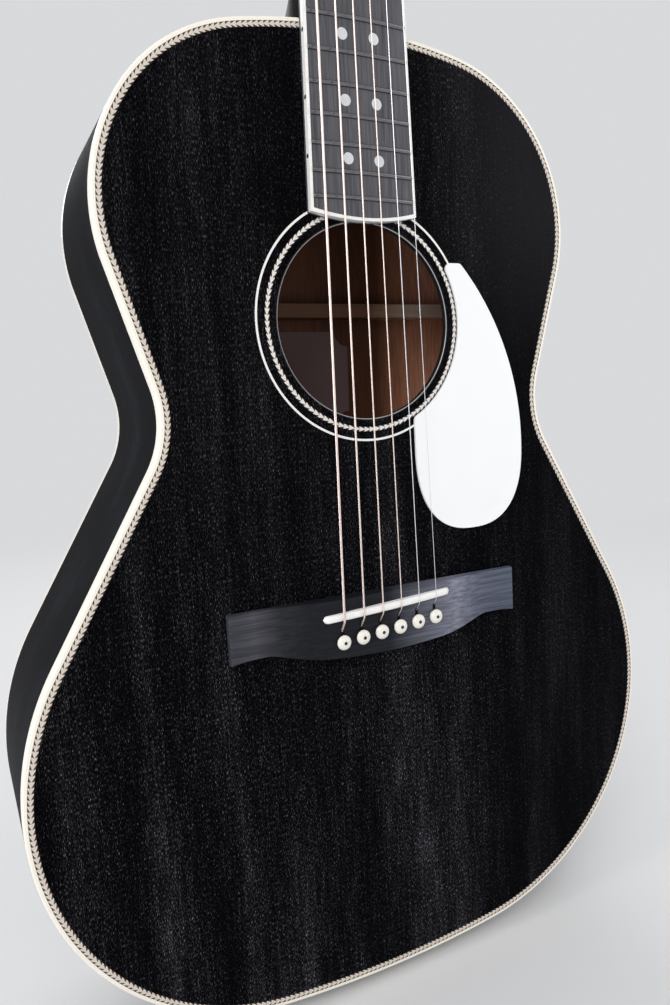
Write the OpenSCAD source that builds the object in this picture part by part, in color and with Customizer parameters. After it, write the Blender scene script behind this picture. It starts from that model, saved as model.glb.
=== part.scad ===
// Parlour-size six-string acoustic guitar, standing upright.
// The soundboard faces -Y, the treble side is +X and the neck points up along +Z.
// The origin is the seat of the end pin, on the tail of the body at half its depth.
// Most modules are written with y = 0 on the soundboard and are moved to the origin by seated().

/* [Body outline] */
// Length of the body from the tail to the neck joint
body_l = 490; // [475:1:505]
// Width of the lower bout
lower_w = 364; // [345:1:380]
// Height of the lower bout's widest point above the tail
lower_z = 134; // [126:1:142]
// Radius of the arc across the tail
tail_r = 600; // [400:10:900]
// Width of the waist
waist_w = 216; // [200:1:230]
// Height of the waist above the tail
waist_z = 308; // [300:1:314]
// Radius of the waist
waist_r = 48; // [40:1:56]
// Width of the upper bout
upper_w = 259; // [245:1:275]
// Distance from the neck joint down to the upper bout's widest point
upper_drop = 90; // [82:1:96]
// Radius of the arc across the shoulders
shoulder_r = 312; // [260:4:400]

/* [Body build] */
// Depth of the body at the tail
tail_depth = 100; // [90:1:110]
// Depth of the body at the neck joint
neck_depth = 85; // [78:1:95]
// Radius of the domed back
back_r = 4500; // [3500:100:6000]
// Thickness of the soundboard
top_t = 3; // [2.6:0.1:3.6]
// Thickness of the back
back_t = 2.6; // [2.2:0.1:3.2]
// Thickness of the bent sides and width of the binding let into their edge
rim_t = 2; // [1.6:0.1:2.6]
// Height of the top binding on the side
bind_h = 7; // [5:0.5:9]
// Height of the back binding on the side
back_bind_h = 6; // [4:0.5:8]
// Width of the herringbone purfling
purf_w = 2.8; // [2.2:0.1:3.6]
// Depth of the purfling and rosette channels
inlay_t = 1.4; // [1:0.1:2]
// Width of the linings
lining_w = 6; // [5:0.5:8]
// Height of the linings
lining_h = 15; // [12:1:18]
// Width of the neck block
neck_block_w = 72; // [64:1:84]
// Length of the neck block
neck_block_l = 52; // [46:1:60]
// Width of the tail block
tail_block_w = 76; // [60:1:90]
// Thickness of the tail block
tail_block_l = 20; // [15:1:25]

/* [Bracing] */
// Width of the braces
brace_w = 8; // [6:0.5:10]
// Height of the braces
brace_h = 13; // [10:0.5:16]
// Distance from the bridge's upper edge up to the X brace's crossing
cross_rise = 60.4; // [56:0.2:63]
// Angle of the X brace's legs from the centre line
cross_angle = 50; // [47:1:55]
// Distance from the neck block down to the upper transverse brace
upper_bar_gap = 22; // [18:1:26]
// Distance from the X brace's crossing down to the first tone bar
tone_drop = 112; // [106:1:118]
// Distance between the tone bars
tone_gap = 52; // [44:1:58]
// How far a tone bar falls from its bass end to its treble end
tone_fall = 40; // [30:1:48]
// Length of the tone bars across the soundboard
tone_l = 132; // [120:1:144]
// Distance from the X brace's crossing down to the finger braces
finger_drop = 70; // [62:1:78]
// How far the finger braces rise towards the edge
finger_rise = 30; // [20:1:36]
// Spacing of the back braces
back_brace_step = 99; // [92:1:103]
// Height of the first back brace above the tail
back_brace_z = 69; // [60:1:80]

/* [Sound hole] */
// Radius of the sound hole inside its edging
hole_r = 48; // [46:0.2:50]
// Distance from the neck joint down to the sound hole's centre
hole_drop = 140; // [138:1:142]
// Width of the edging round the hole
edging_w = 0.9; // [0.7:0.1:1.4]
// Inner radius of the herringbone ring
herring_r = 52.3; // [51.6:0.1:53]
// Width of the herringbone ring
herring_w = 2.4; // [2:0.1:3]
// Radius of the outer ring's inner edge
outer_ring_r = 58.4; // [57:0.1:60]
// Width of the outer ring
outer_ring_w = 1.2; // [0.8:0.1:2]

/* [Bridge] */
// Length of the bridge across the soundboard
bridge_l = 169; // [160:1:178]
// Width of the bridge's wings
wing_w = 23.4; // [21:0.2:26]
// Thickness of the wings
wing_t = 3.8; // [3:0.1:5]
// Thickness of the bridge's middle
bridge_t = 8.6; // [7.6:0.1:9.4]
// How far the belly reaches below the wings
belly = 8; // [6:0.2:10]
// Extra string length past the scale line, at the middle of the saddle
compensation = 3.9; // [2.5:0.1:5]
// Length of the plate under the soundboard that backs the bridge
bridge_plate_l = 104; // [96:1:112]
// Length of the saddle
saddle_l = 75; // [70:1:80]
// Thickness of the saddle
saddle_t = 3.4; // [2.8:0.1:3.8]
// Slant of the saddle
saddle_slant = 3; // [2:0.5:4]
// Distance from the bridge's upper edge to the middle of the saddle
saddle_drop = 7.2; // [6.6:0.2:8]
// Distance from the saddle's middle to the row of pins
pin_drop = 12.4; // [11.4:0.2:13.6]
// Slant of the row of pins
pin_slant = 4.2; // [3:0.2:5]
// Spacing of the strings at the saddle
saddle_pitch = 11; // [10.4:0.1:11.4]
// Radius of the pin holes
pin_hole_r = 2.6; // [2.4:0.1:3]
// Radius of the pins' heads
pin_head_r = 3.8; // [3.4:0.1:4.4]

/* [Pickguard] */
// Thickness of the pickguard
guard_t = 1.2; // [0.8:0.1:1.6]
// Radius of the pickguard's outer sweep
guard_r = 141; // [138:0.5:144]
// Half of the width across the pickguard's foot
guard_half = 35; // [33:0.5:36.5]
// Height of the pickguard's foot below its widest point
guard_foot_h = 45.2; // [42:0.2:48]
// Distance from the hole's centre down to the pickguard's widest point
guard_drop = 66; // [63:1:69]
// Distance of the foot's middle from the centre line
guard_x = 60.4; // [59:0.2:62]
// Height of the pickguard's tip above the hole's centre
guard_tip = 30; // [26:1:34]

/* [Neck and fingerboard] */
// Scale length from the nut to the saddle line
scale_l = 628; // [622:1:634]
// Width of the fingerboard at the nut
nut_w = 43; // [41:0.5:46]
// Width of the fingerboard at the neck joint
joint_w = 55.4; // [53:0.2:58]
// Thickness of the fingerboard along its middle
board_t = 5.8; // [5.2:0.1:6.6]
// Crown radius of the fingerboard
board_r = 300; // [250:10:400]
// Length of fingerboard past the last fret, at its corners
board_tail = 7; // [5:0.5:8]
// Bulge of the fingerboard's rounded end
board_bulge = 3.6; // [2:0.2:5]
// Width of the fingerboard binding
board_bind_w = 1.5; // [1:0.1:2]
// Thickness of the bare wood below the fingerboard binding
board_ledge = 1.5; // [1:0.1:2]
// Radius of the fret wire
fret_r = 1.1; // [0.9:0.05:1.3]
// Thickness of the nut along the strings
nut_t = 5; // [4:0.5:7]
// Height of the strings above the fingerboard at the nut
nut_action = 1.6; // [1.3:0.1:2.2]
// Thickness of the neck behind the nut
neck_t_nut = 14.5; // [13:0.5:17]
// Thickness of the neck behind the fingerboard at the heel
neck_t_heel = 16.5; // [15:0.5:19]
// Length of the heel's end at the heel cap
heel_tip_l = 20; // [15:1:26]
// Width of the heel's end at the heel cap
heel_tip_w = 24; // [18:1:30]
// Thickness of the heel cap
heel_cap_t = 2.5; // [1.5:0.5:4]
// Length of the dovetail tenon
tenon_l = 20; // [16:1:26]
// Width of the dovetail at the joint
tenon_w = 22; // [18:1:26]
// Radius of the truss rod
truss_r = 3; // [2.5:0.1:3.2]

/* [Headstock] */
// Tilt of the headstock
head_angle = 13; // [9:1:16]
// Length of the headstock
head_l = 178; // [170:1:190]
// Width of the headstock at its top
head_w = 73; // [68:1:78]
// Width of the headstock at its shoulders
head_shoulder_w = 66; // [62:1:70]
// Thickness of the headstock
head_t = 14.5; // [13:0.5:17]
// Thickness of the head veneer
veneer_t = 1.5; // [1:0.1:2.5]
// Distance of the string posts from the centre line
post_x = 22; // [21:0.5:24]
// Distance of the first posts from the nut
post_z0 = 50; // [46:1:54]
// Spacing of the posts along the headstock
post_step = 41; // [39:1:44]

/* [Tuners] */
// Radius of the string posts
post_r = 3; // [2.6:0.1:3.4]
// Height of the posts above the head veneer
post_rise = 14; // [12:0.5:17]
// Number of teeth on the post's gear
gear_teeth = 14; // [12:1:16]
// Pitch radius of the post's gear
gear_r = 4.9; // [4.7:0.1:5.1]
// Thickness of the post's gear
gear_t = 3.4; // [2.6:0.2:4]
// Pitch radius of the worm
worm_r = 2.7; // [2.6:0.05:2.8]
// Number of turns on the worm
worm_turns = 4; // [3:1:5]
// Radius of the worm's shaft
shaft_r = 1.5; // [1.2:0.1:1.6]
// Thickness of the tuner plates
plate_t = 1.2; // [1:0.1:1.6]
// Width of the tuner plates
plate_w = 15; // [14:0.5:16]
// Length of the tuner plates
plate_l = 31; // [29:1:34]
// Length of the buttons across the shaft
button_l = 17; // [14:0.5:20]
// Thickness of the buttons
button_t = 8; // [6:0.5:9]
// Distance from the headstock's edge to the buttons
button_gap = 4; // [3:0.5:7]
// Radius of the end pin's shank
end_pin_r = 4; // [3.5:0.1:5]
// Radius of the end pin's head
end_pin_head_r = 7; // [6:0.5:9]

/* [Clearances] */
// Gap round inlays and tenons
inlay_gap = 0.05; // [0.02:0.01:0.1]
// Running gap round shafts and posts
run_gap = 0.08; // [0.05:0.01:0.1]
// Gap round the strings where they lie in wood or bone
string_gap = 0.06; // [0.04:0.01:0.1]

/* [Hidden] */

$fn = 48;
fine_fn = 256;
// The back linings' dome is turned by this much, so that its facets' corners lie near the blocks.
facet_lean = -0.34;
arc_sag = 0.06;
eps = 0.01;
past = 1;

// Circles of the body outline, in (x, z); every radius and centre follows from tangency.
function side_r(end_r, half_w, off) =
    (2 * off * end_r - half_w * half_w - off * off) / (2 * (end_r - half_w));
lower_r = side_r(tail_r, lower_w / 2, lower_z);
upper_r = side_r(shoulder_r, upper_w / 2, upper_drop);
tail_c = [0, tail_r];
lower_c = [lower_w / 2 - lower_r, lower_z];
waist_c = [waist_w / 2 + waist_r, waist_z];
upper_c = [upper_w / 2 - upper_r, body_l - upper_drop];
shoulder_c = [0, body_l - shoulder_r];
function heading(a, b) = atan2(b[1] - a[1], b[0] - a[0]);
lower_turn = heading(lower_c, waist_c) - acos((lower_r + waist_r) / norm(waist_c - lower_c));
upper_turn = heading(upper_c, waist_c) + acos((upper_r + waist_r) / norm(waist_c - upper_c));
tail_turn = heading(tail_c, lower_c);
shoulder_turn = heading(shoulder_c, upper_c);

// The number of steps follows from the outline's own radius, so that every inset has the same corners.
function arc(c, r, a0, a1, d) =
    let (n = ceil(abs(a1 - a0) / (2 * acos(1 - arc_sag / r))), a = (a1 - a0) / n)
    [for (i = [0:n]) c + (r + d) * [cos(a0 + a * i), sin(a0 + a * i)]];

// Right half of the outline, drawn in by d, from the tail to the neck joint.
function half_outline(d) = concat(
    arc(tail_c, tail_r, -90, tail_turn, -d),
    arc(lower_c, lower_r, tail_turn, lower_turn, -d),
    arc(waist_c, waist_r, lower_turn + 180, upper_turn + 180, d),
    arc(upper_c, upper_r, upper_turn, shoulder_turn, -d),
    arc(shoulder_c, shoulder_r, shoulder_turn, 90, -d));
function fold(pts) = [for (i = [len(pts) - 1:-1:0]) [-pts[i][0], pts[i][1]]];
function clean(pts) = [for (i = [0:len(pts) - 1]) if (i == 0 || norm(pts[i] - pts[i - 1]) > eps) pts[i]];
function half_clean(d) = clean(half_outline(d));
function inner(pts) = [for (i = [1:len(pts) - 2]) pts[i]];
function reversed(pts) = [for (i = [len(pts) - 1:-1:0]) pts[i]];

// Centre of the back's dome: a circle of back_r through the tail and the neck joint.
back_chord = [body_l, neck_depth - tail_depth];
back_out = [-back_chord[1], back_chord[0]] / norm(back_chord);
dome_c = [0, tail_depth] + back_chord / 2
    - back_out * sqrt(back_r * back_r - norm(back_chord) * norm(back_chord) / 4);
deep = tail_depth + neck_depth;

// Lines that several pieces share.
function nut_line() = body_l + scale_l * (1 - pow(2, -14 / 12));
board_top_z = nut_line();
head_z = board_top_z + nut_t;
frets_n = 20;
function fret_z(n) = board_top_z - scale_l * (1 - pow(2, -n / 12));
board_end_z = fret_z(frets_n) - board_tail;
function board_half_w(z) = nut_w / 2 + (joint_w - nut_w) / 2 * (board_top_z - z) / (board_top_z - body_l);
crown_y = board_r - board_t;
rim_in = rim_t + lining_w;
saddle_z = board_top_z - scale_l - compensation;
bridge_z = saddle_z + saddle_drop;
cross_z = bridge_z + cross_rise;
hole_z = body_l - hole_drop;
upper_bar_z = body_l - neck_block_l - upper_bar_gap;

// Strings, from the bass side to the treble side.
string_d = [1.35, 1.07, 0.81, 0.61, 0.42, 0.32];
strings_n = len(string_d);
function from_mid(i) = i - (strings_n - 1) / 2;
nut_margin = 3.5;
nut_pitch = (nut_w - 2 * nut_margin) / (strings_n - 1);
pin_z = saddle_z - pin_drop;
saddle_rise = 3.4;
saddle_top = bridge_t + saddle_rise;
saddle_crown_r = 400;
function saddle_x(i) = from_mid(i) * saddle_pitch;
function saddle_at(i) = saddle_z + saddle_x(i) * tan(saddle_slant);
function saddle_h(i) = saddle_top - saddle_x(i) * saddle_x(i) / (2 * saddle_crown_r);
function pin_at(i) = [saddle_x(i), pin_z + saddle_x(i) * tan(pin_slant)];
function nut_x(i) = from_mid(i) * nut_pitch;
function nut_h(i) = board_t - nut_x(i) * nut_x(i) / (2 * board_r) + nut_action;
groove_w = max(string_d) + 6 * string_gap;
groove_in = pin_hole_r - groove_w;
string_in_pin = groove_in + max(string_d) / 2 + string_gap;
plate_under_t = 2.5;
ball_r = 2;
ball_l = 4;

// Headstock and tuners.
bush_r = 5;
bush_l = 9;
bush_flange_r = 6.4;
bush_flange_t = 1.2;
tooth_up = 0.6;
tooth_down = 0.9;
gear_tip_r = gear_r + tooth_up;
gear_root_r = gear_r - tooth_down;
worm_tip_r = worm_r + tooth_up;
worm_root_r = worm_r - tooth_down;
worm_pitch = 2 * PI * gear_r / gear_teeth;
worm_l = worm_pitch * worm_turns;
worm_lead = atan(worm_pitch / (2 * PI * worm_r));
worm_off = gear_r + worm_r;
worm_lift = 0.5;
gear_mid = plate_t + worm_tip_r + worm_lift;
ear_t = 1.3;
ear_gap = 0.4;
ear_in = worm_l / 2 + ear_gap;
ear_out = ear_in + ear_t;
ear_wall = 1.9;
ear_r = shaft_r + ear_wall;
plate_foot = 8;
plate_lift = plate_l / 2 - worm_off / 2 - plate_foot;
screw_r = 1.1;
screw_l = 8;
screw_head_r = 2;
screw_head_t = 1;
screw_inset = 2.6;
button_w = 13;
button_grip = 5;
button_at = head_w / 2 - post_x + button_gap;
turns = [3, 3, 3, 4, 4, 4];
wind_from = 54;
wind_lift = bush_flange_t + 1.4;
wind_gap = 0.46;
side_of = [-1, -1, -1, 1, 1, 1];
post_zs = [for (k = [0, 1, 2, 2, 1, 0]) post_z0 + k * post_step];
pocket_w = 9;
pocket_l = 26;
truss_y = 6.5;
truss_nut_r = 3.6;
truss_nut_l = 7;
truss_nut_gap = 0.5;
cover_t = 2;
cover_w = 20;
cover_l = 38;
cover_from = 3;
cover_screws = [[-7, cover_from + 4], [7, cover_from + 4], [0, cover_from + cover_l - 5]];

// Head frame: origin behind the nut on the glue line, tilted back.
function head_pt(p) = [p[0], p[1] * cos(head_angle) + p[2] * sin(head_angle),
    head_z - p[1] * sin(head_angle) + p[2] * cos(head_angle)];

module seated() { translate([0, -tail_depth / 2, 0]) children(); }
module slab(y0, y1) { translate([0, y1, 0]) rotate([90, 0, 0]) linear_extrude(y1 - y0) children(); }
module along_y(x, z, y0, y1, r) { translate([x, y0, z]) rotate([-90, 0, 0]) cylinder(h = y1 - y0, r = r); }
module head() { translate([0, 0, head_z]) rotate([-head_angle, 0, 0]) children(); }
module dome(d) { translate([0, dome_c[1], dome_c[0]]) sphere(r = back_r - d, $fn = fine_fn); }
module outline(d) { polygon(concat(half_clean(d), inner(fold(half_clean(d))))); }
module ring(d0, d1) { difference() { outline(d0); outline(d1); } }
module disc_ring(r0, r1, y0, y1) {
    difference() {
        along_y(0, hole_z, y0, y1, r1);
        along_y(0, hole_z, y0 - past, y1 + past, r0);
    }
}
module inside_back(d) { intersection() { children(); dome(d); } }
module back_layer(d0, d1) {
    difference() {
        intersection() {
            slab(neck_depth / 2, deep) children();
            dome(d0);
        }
        dome(d1);
    }
}

// A tube of n sides along a list of points; ref is a direction that the tube never follows.
function unit(v) = v / norm(v);
function tube_ring(p, t, ref, r, n) =
    let (a = unit(cross(t, ref)), b = cross(a, t))
    [for (k = [0:n - 1]) p + r * (cos(360 * k / n) * a + sin(360 * k / n) * b)];
function tangent_at(pts, i) = unit(pts[min(i + 1, len(pts) - 1)] - pts[max(i - 1, 0)]);
module tube(pts, r, n, ref) {
    m = len(pts);
    all = [for (i = [0:m - 1]) each tube_ring(pts[i], tangent_at(pts, i), ref, r, n)];
    skin = [for (i = [0:m - 2], k = [0:n - 1]) let (a = i * n + k, b = i * n + (k + 1) % n)
        each [[a, b, b + n], [a, b + n, a + n]]];
    ends = [[for (k = [0:n - 1]) n - 1 - k], [for (k = [0:n - 1]) (m - 1) * n + k]];
    polyhedron(all, concat(skin, ends));
}

// Body

module dovetail(gap) {
    flare = 4;
    slab(-past, neck_depth * 0.7 + gap)
        polygon([[-tenon_w / 2 - gap, body_l + past], [tenon_w / 2 + gap, body_l + past],
            [tenon_w / 2 + flare + gap, body_l - tenon_l - gap],
            [-tenon_w / 2 - flare - gap, body_l - tenon_l - gap]]);
}
module block_zone(gap) {
    translate([-neck_block_w / 2 - gap, body_l - neck_block_l - gap])
        square([neck_block_w + 2 * gap, neck_block_l]);
    translate([-tail_block_w / 2 - gap, 0])
        square([tail_block_w + 2 * gap, tail_block_l + rim_t + gap]);
}
module pin_holes() {
    for (i = [0:strings_n - 1])
        along_y(pin_at(i)[0], pin_at(i)[1], -bridge_t - past, top_t + plate_under_t + past, pin_hole_r);
}
module soundboard() {
    color("#17171a") seated() difference() {
        union() {
            slab(0, top_t) outline(rim_t + purf_w);
            slab(inlay_t, top_t) outline(rim_t);
        }
        along_y(0, hole_z, -past, top_t + past, hole_r + edging_w + inlay_gap);
        disc_ring(herring_r, herring_r + herring_w, -past, inlay_t);
        disc_ring(outer_ring_r, outer_ring_r + outer_ring_w, -past, inlay_t);
        pin_holes();
        dovetail(inlay_gap);
    }
}
module rib(side) {
    pts = half_clean(0);
    inset = half_clean(rim_t);
    difference() {
        inside_back(back_bind_h) slab(bind_h, deep)
            scale([side, 1]) polygon(concat(pts, reversed(inset)));
        end_pin_bore();
        dovetail(inlay_gap);
    }
}
module end_pin_bore() {
    translate([0, tail_depth / 2, -past])
        cylinder(h = tail_block_l + rim_t + 2 * past, r = end_pin_r + inlay_gap);
}
module bass_rib() { color("#1b1b20") seated() mirror([1, 0, 0]) rib(1); }
module treble_rib() { color("#1b1b20") seated() rib(1); }
module neck_block() {
    color("#8a5a3a") seated() difference() {
        inside_back(back_t) slab(top_t, deep) intersection() {
            outline(rim_t);
            translate([-neck_block_w / 2, body_l - neck_block_l]) square([neck_block_w, neck_block_l]);
        }
        dovetail(inlay_gap);
    }
}
module tail_block() {
    color("#8a5a3a") seated() difference() {
        inside_back(back_t) slab(top_t, deep) intersection() {
            outline(rim_t);
            translate([-tail_block_w / 2, 0]) square([tail_block_w, tail_block_l + rim_t]);
        }
        end_pin_bore();
    }
}
module lining_plan() { difference() { ring(rim_t, rim_in); block_zone(inlay_gap); } }
module top_linings() { color("#b98a5e") seated() slab(top_t, top_t + lining_h) lining_plan(); }
module turned_dome(d) {
    translate([0, dome_c[1], dome_c[0]]) rotate([facet_lean, 0, 180 / fine_fn])
        sphere(r = back_r - d, $fn = fine_fn);
}
module back_linings() {
    color("#b98a5e") seated() difference() {
        intersection() {
            slab(neck_depth / 2, deep) lining_plan();
            turned_dome(back_t);
        }
        turned_dome(back_t + lining_h);
    }
}

module bar(from, to, w) {
    run = to - from;
    translate(from) rotate(atan2(run[1], run[0])) translate([0, -w / 2]) square([norm(run), w]);
}
module x_brace_plan() {
    leg = lower_w;
    for (s = [-1, 1])
        bar([0, cross_z] - s * leg * [sin(cross_angle), cos(cross_angle)],
            [0, cross_z] + s * leg * [sin(cross_angle), cos(cross_angle)], brace_w);
    for (s = [-1, 1])
        bar([0, cross_z] - s * leg * [-sin(cross_angle), cos(cross_angle)],
            [0, cross_z] + s * leg * [-sin(cross_angle), cos(cross_angle)], brace_w);
}
module top_brace_plan() {
    finger_from = [finger_drop * tan(cross_angle), cross_z - finger_drop];
    x_brace_plan();
    bar([-lower_w, upper_bar_z], [lower_w, upper_bar_z], brace_w + 2);
    for (z = [cross_z - tone_drop, cross_z - tone_drop - tone_gap])
        bar([-tone_l / 2, z], [tone_l / 2, z - tone_fall], brace_w);
    for (s = [-1, 1])
        bar([s * finger_from[0], finger_from[1]], [s * lower_w, finger_from[1] + finger_rise], brace_w - 2);
}
module top_braces() {
    color("#c9a576") seated() slab(top_t, top_t + brace_h) intersection() {
        outline(rim_in);
        top_brace_plan();
    }
}
module bridge_plate() {
    color("#6d4a30") seated() difference() {
        slab(top_t, top_t + plate_under_t)
            translate([-bridge_plate_l / 2, bridge_z - wing_w - belly])
                square([bridge_plate_l, wing_w + belly]);
        pin_holes();
    }
}
back_brace_zs = [for (k = [0:3]) back_brace_z + k * back_brace_step];
module back_braces() {
    color("#c9a576") seated() back_layer(back_t, back_t + brace_h) intersection() {
        outline(rim_in);
        for (z = back_brace_zs)
            translate([-lower_w, z - brace_w / 2]) square([2 * lower_w, brace_w]);
    }
}
label_size = [90, 58];
label_bite = 9;
label_x = -8;
label_gap = 7;
// The label is flat and rests by its corners on the hollow of the back.
module paper_label() {
    sheet = 0.3;
    seat_r = back_r - back_t;
    z = back_brace_zs[3] - brace_w / 2 - label_gap - label_size[1] / 2;
    reach = [abs(label_x) + label_size[0] / 2, label_size[1] / 2];
    seat = sqrt(seat_r * seat_r - reach * reach);
    lean = asin((z - dome_c[0]) / seat_r);
    color("#d9cfc0") seated() translate([0, dome_c[1], dome_c[0]]) rotate([lean, 0, 0])
        slab(seat - sheet, seat) translate([label_x, 0]) difference() {
            square(label_size, center = true);
            for (sx = [-1, 1], sz = [-1, 1])
                translate([sx * label_size[0] / 2, sz * label_size[1] / 2]) circle(label_bite);
        }
}
module top_binding() {
    color("#f1e9d8") seated() difference() {
        slab(0, bind_h) ring(0, rim_t);
        dovetail(inlay_gap);
    }
}
module top_purfling() {
    color("#b89b78") seated() difference() {
        slab(0, inlay_t) ring(rim_t, rim_t + purf_w);
        dovetail(inlay_gap);
    }
}
module back_plate() { color("#1b1b20") seated() back_layer(0, back_t) outline(rim_t); }
module back_binding() { color("#f1e9d8") seated() back_layer(0, back_bind_h) ring(0, rim_t); }
module hole_edging() { color("#1a1a1d") seated() disc_ring(hole_r, hole_r + edging_w, 0, top_t); }
module rosette_rings() {
    color("#f2f0ea") seated()
        disc_ring(outer_ring_r + inlay_gap, outer_ring_r + outer_ring_w - inlay_gap, 0, inlay_t);
}
module rosette_herringbone() {
    color("#c9b08c") seated()
        disc_ring(herring_r + inlay_gap, herring_r + herring_w - inlay_gap, 0, inlay_t);
}

// Bridge, saddle and pins

middle_half = 40;
flank_half = 66;
high_half = 30;
tip_half = 70;
tip_dip = 1.2;
function ease(t) = let (c = min(1, max(0, t))) c * c * (3 - 2 * c);
function flank(x) = ease((abs(x) - middle_half) / (flank_half - middle_half));
wing_z = bridge_z - wing_w;
function dip(x) = tip_dip * pow(max(0, abs(x) - tip_half) / (bridge_l / 2 - tip_half), 2);
function belly_edge(x) = let (near = 1 - flank(x))
    wing_z - dip(x) - belly * near * (1 - 0.3 * pow(x / middle_half, 2) * near);
bridge_xs = [for (k = [-24:24]) bridge_l / 2 * k / 24];
module bridge_plan() {
    polygon(concat([for (x = bridge_xs) [x, belly_edge(x)]],
        [[bridge_l / 2, bridge_z], [-bridge_l / 2, bridge_z]]));
}
function bridge_h(x) =
    wing_t + (bridge_t - wing_t) * (1 - ease((abs(x) - high_half) / (flank_half - high_half)));
module bridge_elevation() {
    polygon(concat([[-bridge_l / 2, 0]], [for (x = bridge_xs) [x, -bridge_h(x)]], [[bridge_l / 2, 0]]));
}
module saddle_frame() { translate([0, 0, saddle_z]) rotate([0, -saddle_slant, 0]) children(); }
saddle_seat = bridge_t - 4.5;
module saddle_slot(gap) {
    saddle_frame() translate([-saddle_l / 2 - gap, -bridge_t - past, -saddle_t / 2 - gap])
        cube([saddle_l + 2 * gap, bridge_t + past - saddle_seat, saddle_t + 2 * gap]);
}
// Ramps that lead the strings down from the saddle into the pin holes.
string_dive = 5.5;
function behind_saddle(i) = saddle_at(i) - saddle_t / 2 - 4 * string_gap;
function into_pin(i) = pin_at(i)[1] + string_in_pin;
function over_saddle(i) = saddle_h(i) + string_d[i] / 2 + string_gap;
function dive_slope(i) = (over_saddle(i) - string_dive) / (behind_saddle(i) - into_pin(i));
module string_ramps() {
    for (i = [0:strings_n - 1]) {
        slope = dive_slope(i);
        floor = string_dive - (max(string_d) / 2 + 2 * string_gap) * sqrt(1 + slope * slope);
        run = (bridge_t - floor) / slope + past;
        translate([pin_at(i)[0] - groove_w / 2, 0, into_pin(i)]) rotate([90, 0, 90]) linear_extrude(groove_w)
            polygon([[slope - floor, -1], [-floor - slope * run, run], [-bridge_t - 2 * past, run],
                [-bridge_t - 2 * past, -1]]);
    }
}
module bridge() {
    color("#35353a") seated() difference() {
        intersection() {
            slab(-bridge_t - past, 0) bridge_plan();
            translate([0, 0, wing_z - 2 * belly]) linear_extrude(wing_w + 3 * belly) bridge_elevation();
        }
        saddle_slot(inlay_gap);
        pin_holes();
        string_ramps();
    }
}
saddle_xs = [for (k = [-12:12]) saddle_l / 2 * k / 12];
function saddle_edge(x) = let (e = max(0, abs(x) - saddle_l / 2 + 3))
    saddle_top - x * x / (2 * saddle_crown_r) - e * e / 5;
module saddle() {
    color("#f4f1ea") seated() saddle_frame() translate([0, 0, -saddle_t / 2]) linear_extrude(saddle_t)
        polygon(concat([[-saddle_l / 2, -saddle_seat]], [for (x = saddle_xs) [x, -saddle_edge(x)]],
            [[saddle_l / 2, -saddle_seat]]));
}
pin_l = bridge_t + top_t + plate_under_t + 4;
pin_head_h = 3.6;
module bridge_pin() {
    collar = 0.8;
    dome_r = 5;
    difference() {
        union() {
            cylinder(h = pin_l, r1 = pin_hole_r - inlay_gap, r2 = pin_hole_r - 0.4);
            translate([0, 0, -collar]) cylinder(h = collar, r = pin_head_r - 0.5);
            intersection() {
                translate([0, 0, -pin_head_h]) cylinder(h = pin_head_h - collar, r = pin_head_r);
                translate([0, 0, dome_r - pin_head_h]) sphere(r = dome_r);
            }
        }
        translate([-groove_w / 2, groove_in, -pin_head_h - past])
            cube([groove_w, pin_head_r, pin_l + pin_head_h + 2 * past]);
    }
}
module bridge_pins() {
    color("#efe9dc") seated() for (i = [0:strings_n - 1])
        translate([pin_at(i)[0], -bridge_t, pin_at(i)[1]])
            rotate([-90, 0, 0]) mirror([0, 1, 0]) bridge_pin();
}
guard_soft = 3;
guard_gap = 0.4;
guard_power = 2.45;
guard_c = [guard_x, hole_z - guard_drop];
function squarish(v) = sign(v) * pow(abs(v), 2 / guard_power);
module guard_foot() {
    polygon([for (a = [180:3:360])
        guard_c + [guard_half * squarish(cos(a)), guard_foot_h * squarish(sin(a))]]);
}
module pickguard() {
    left = guard_x - guard_half;
    rise = hole_z + guard_tip - guard_c[1];
    color("#f5f5f3") seated() slab(-guard_t, 0)
            offset(r = guard_soft, $fn = 32) offset(delta = -guard_soft) difference() {
        union() {
            guard_foot();
            intersection() {
                translate(guard_c + [guard_half - guard_r, 0]) circle(guard_r, $fn = 240);
                translate([left, guard_c[1] - eps]) square([guard_r, rise]);
            }
        }
        translate([0, hole_z]) circle(herring_r + herring_w + guard_gap, $fn = 128);
    }
}
module end_pin() {
    lip = 1.5;
    head_h = 9;
    neck_r = end_pin_head_r - 2.5;
    color("#efe9dc") rotate_extrude() polygon([[0, tail_block_l - 2], [end_pin_r, tail_block_l - 2],
        [end_pin_r, 0], [neck_r + 0.6, 0], [neck_r, -lip], [neck_r, -head_h / 2],
        [end_pin_head_r, -head_h / 2 - 1], [end_pin_head_r, -head_h + 1.5],
        [end_pin_head_r - 1.5, -head_h], [0, -head_h]]);
}

// Fingerboard

function board_plan(d) =
    let (z1 = board_end_z, w0 = board_half_w(board_top_z) - d, w1 = board_half_w(z1) - d)
    concat([[w0, board_top_z], [-w0, board_top_z]],
        [for (k = [-8:8]) [w1 * k / 8, z1 + d - board_bulge * (1 - k * k / 64)]]);
module crowned() {
    intersection() {
        children();
        translate([0, crown_y, board_end_z - 2 * board_bulge])
            cylinder(h = 2 * scale_l, r = board_r, $fn = fine_fn);
    }
}
function fret_half(n) = asin((board_half_w(fret_z(n)) - board_bind_w - 2 * inlay_gap) / board_r);
module wire(n) {
    translate([0, crown_y, fret_z(n)]) rotate([0, 0, -90 - fret_half(n)])
        rotate_extrude(angle = 2 * fret_half(n), $fn = fine_fn) children();
}
tang_w = 0.5;
tang_t = 1.8;
marker_frets = [3, 5, 7, 9, 12, 15, 17, 19];
marker_x = 8.5;
marker_w = 5.5;
marker_sunk = 0.04;
function between(n) = (fret_z(n) + fret_z(n - 1)) / 2;
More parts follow.
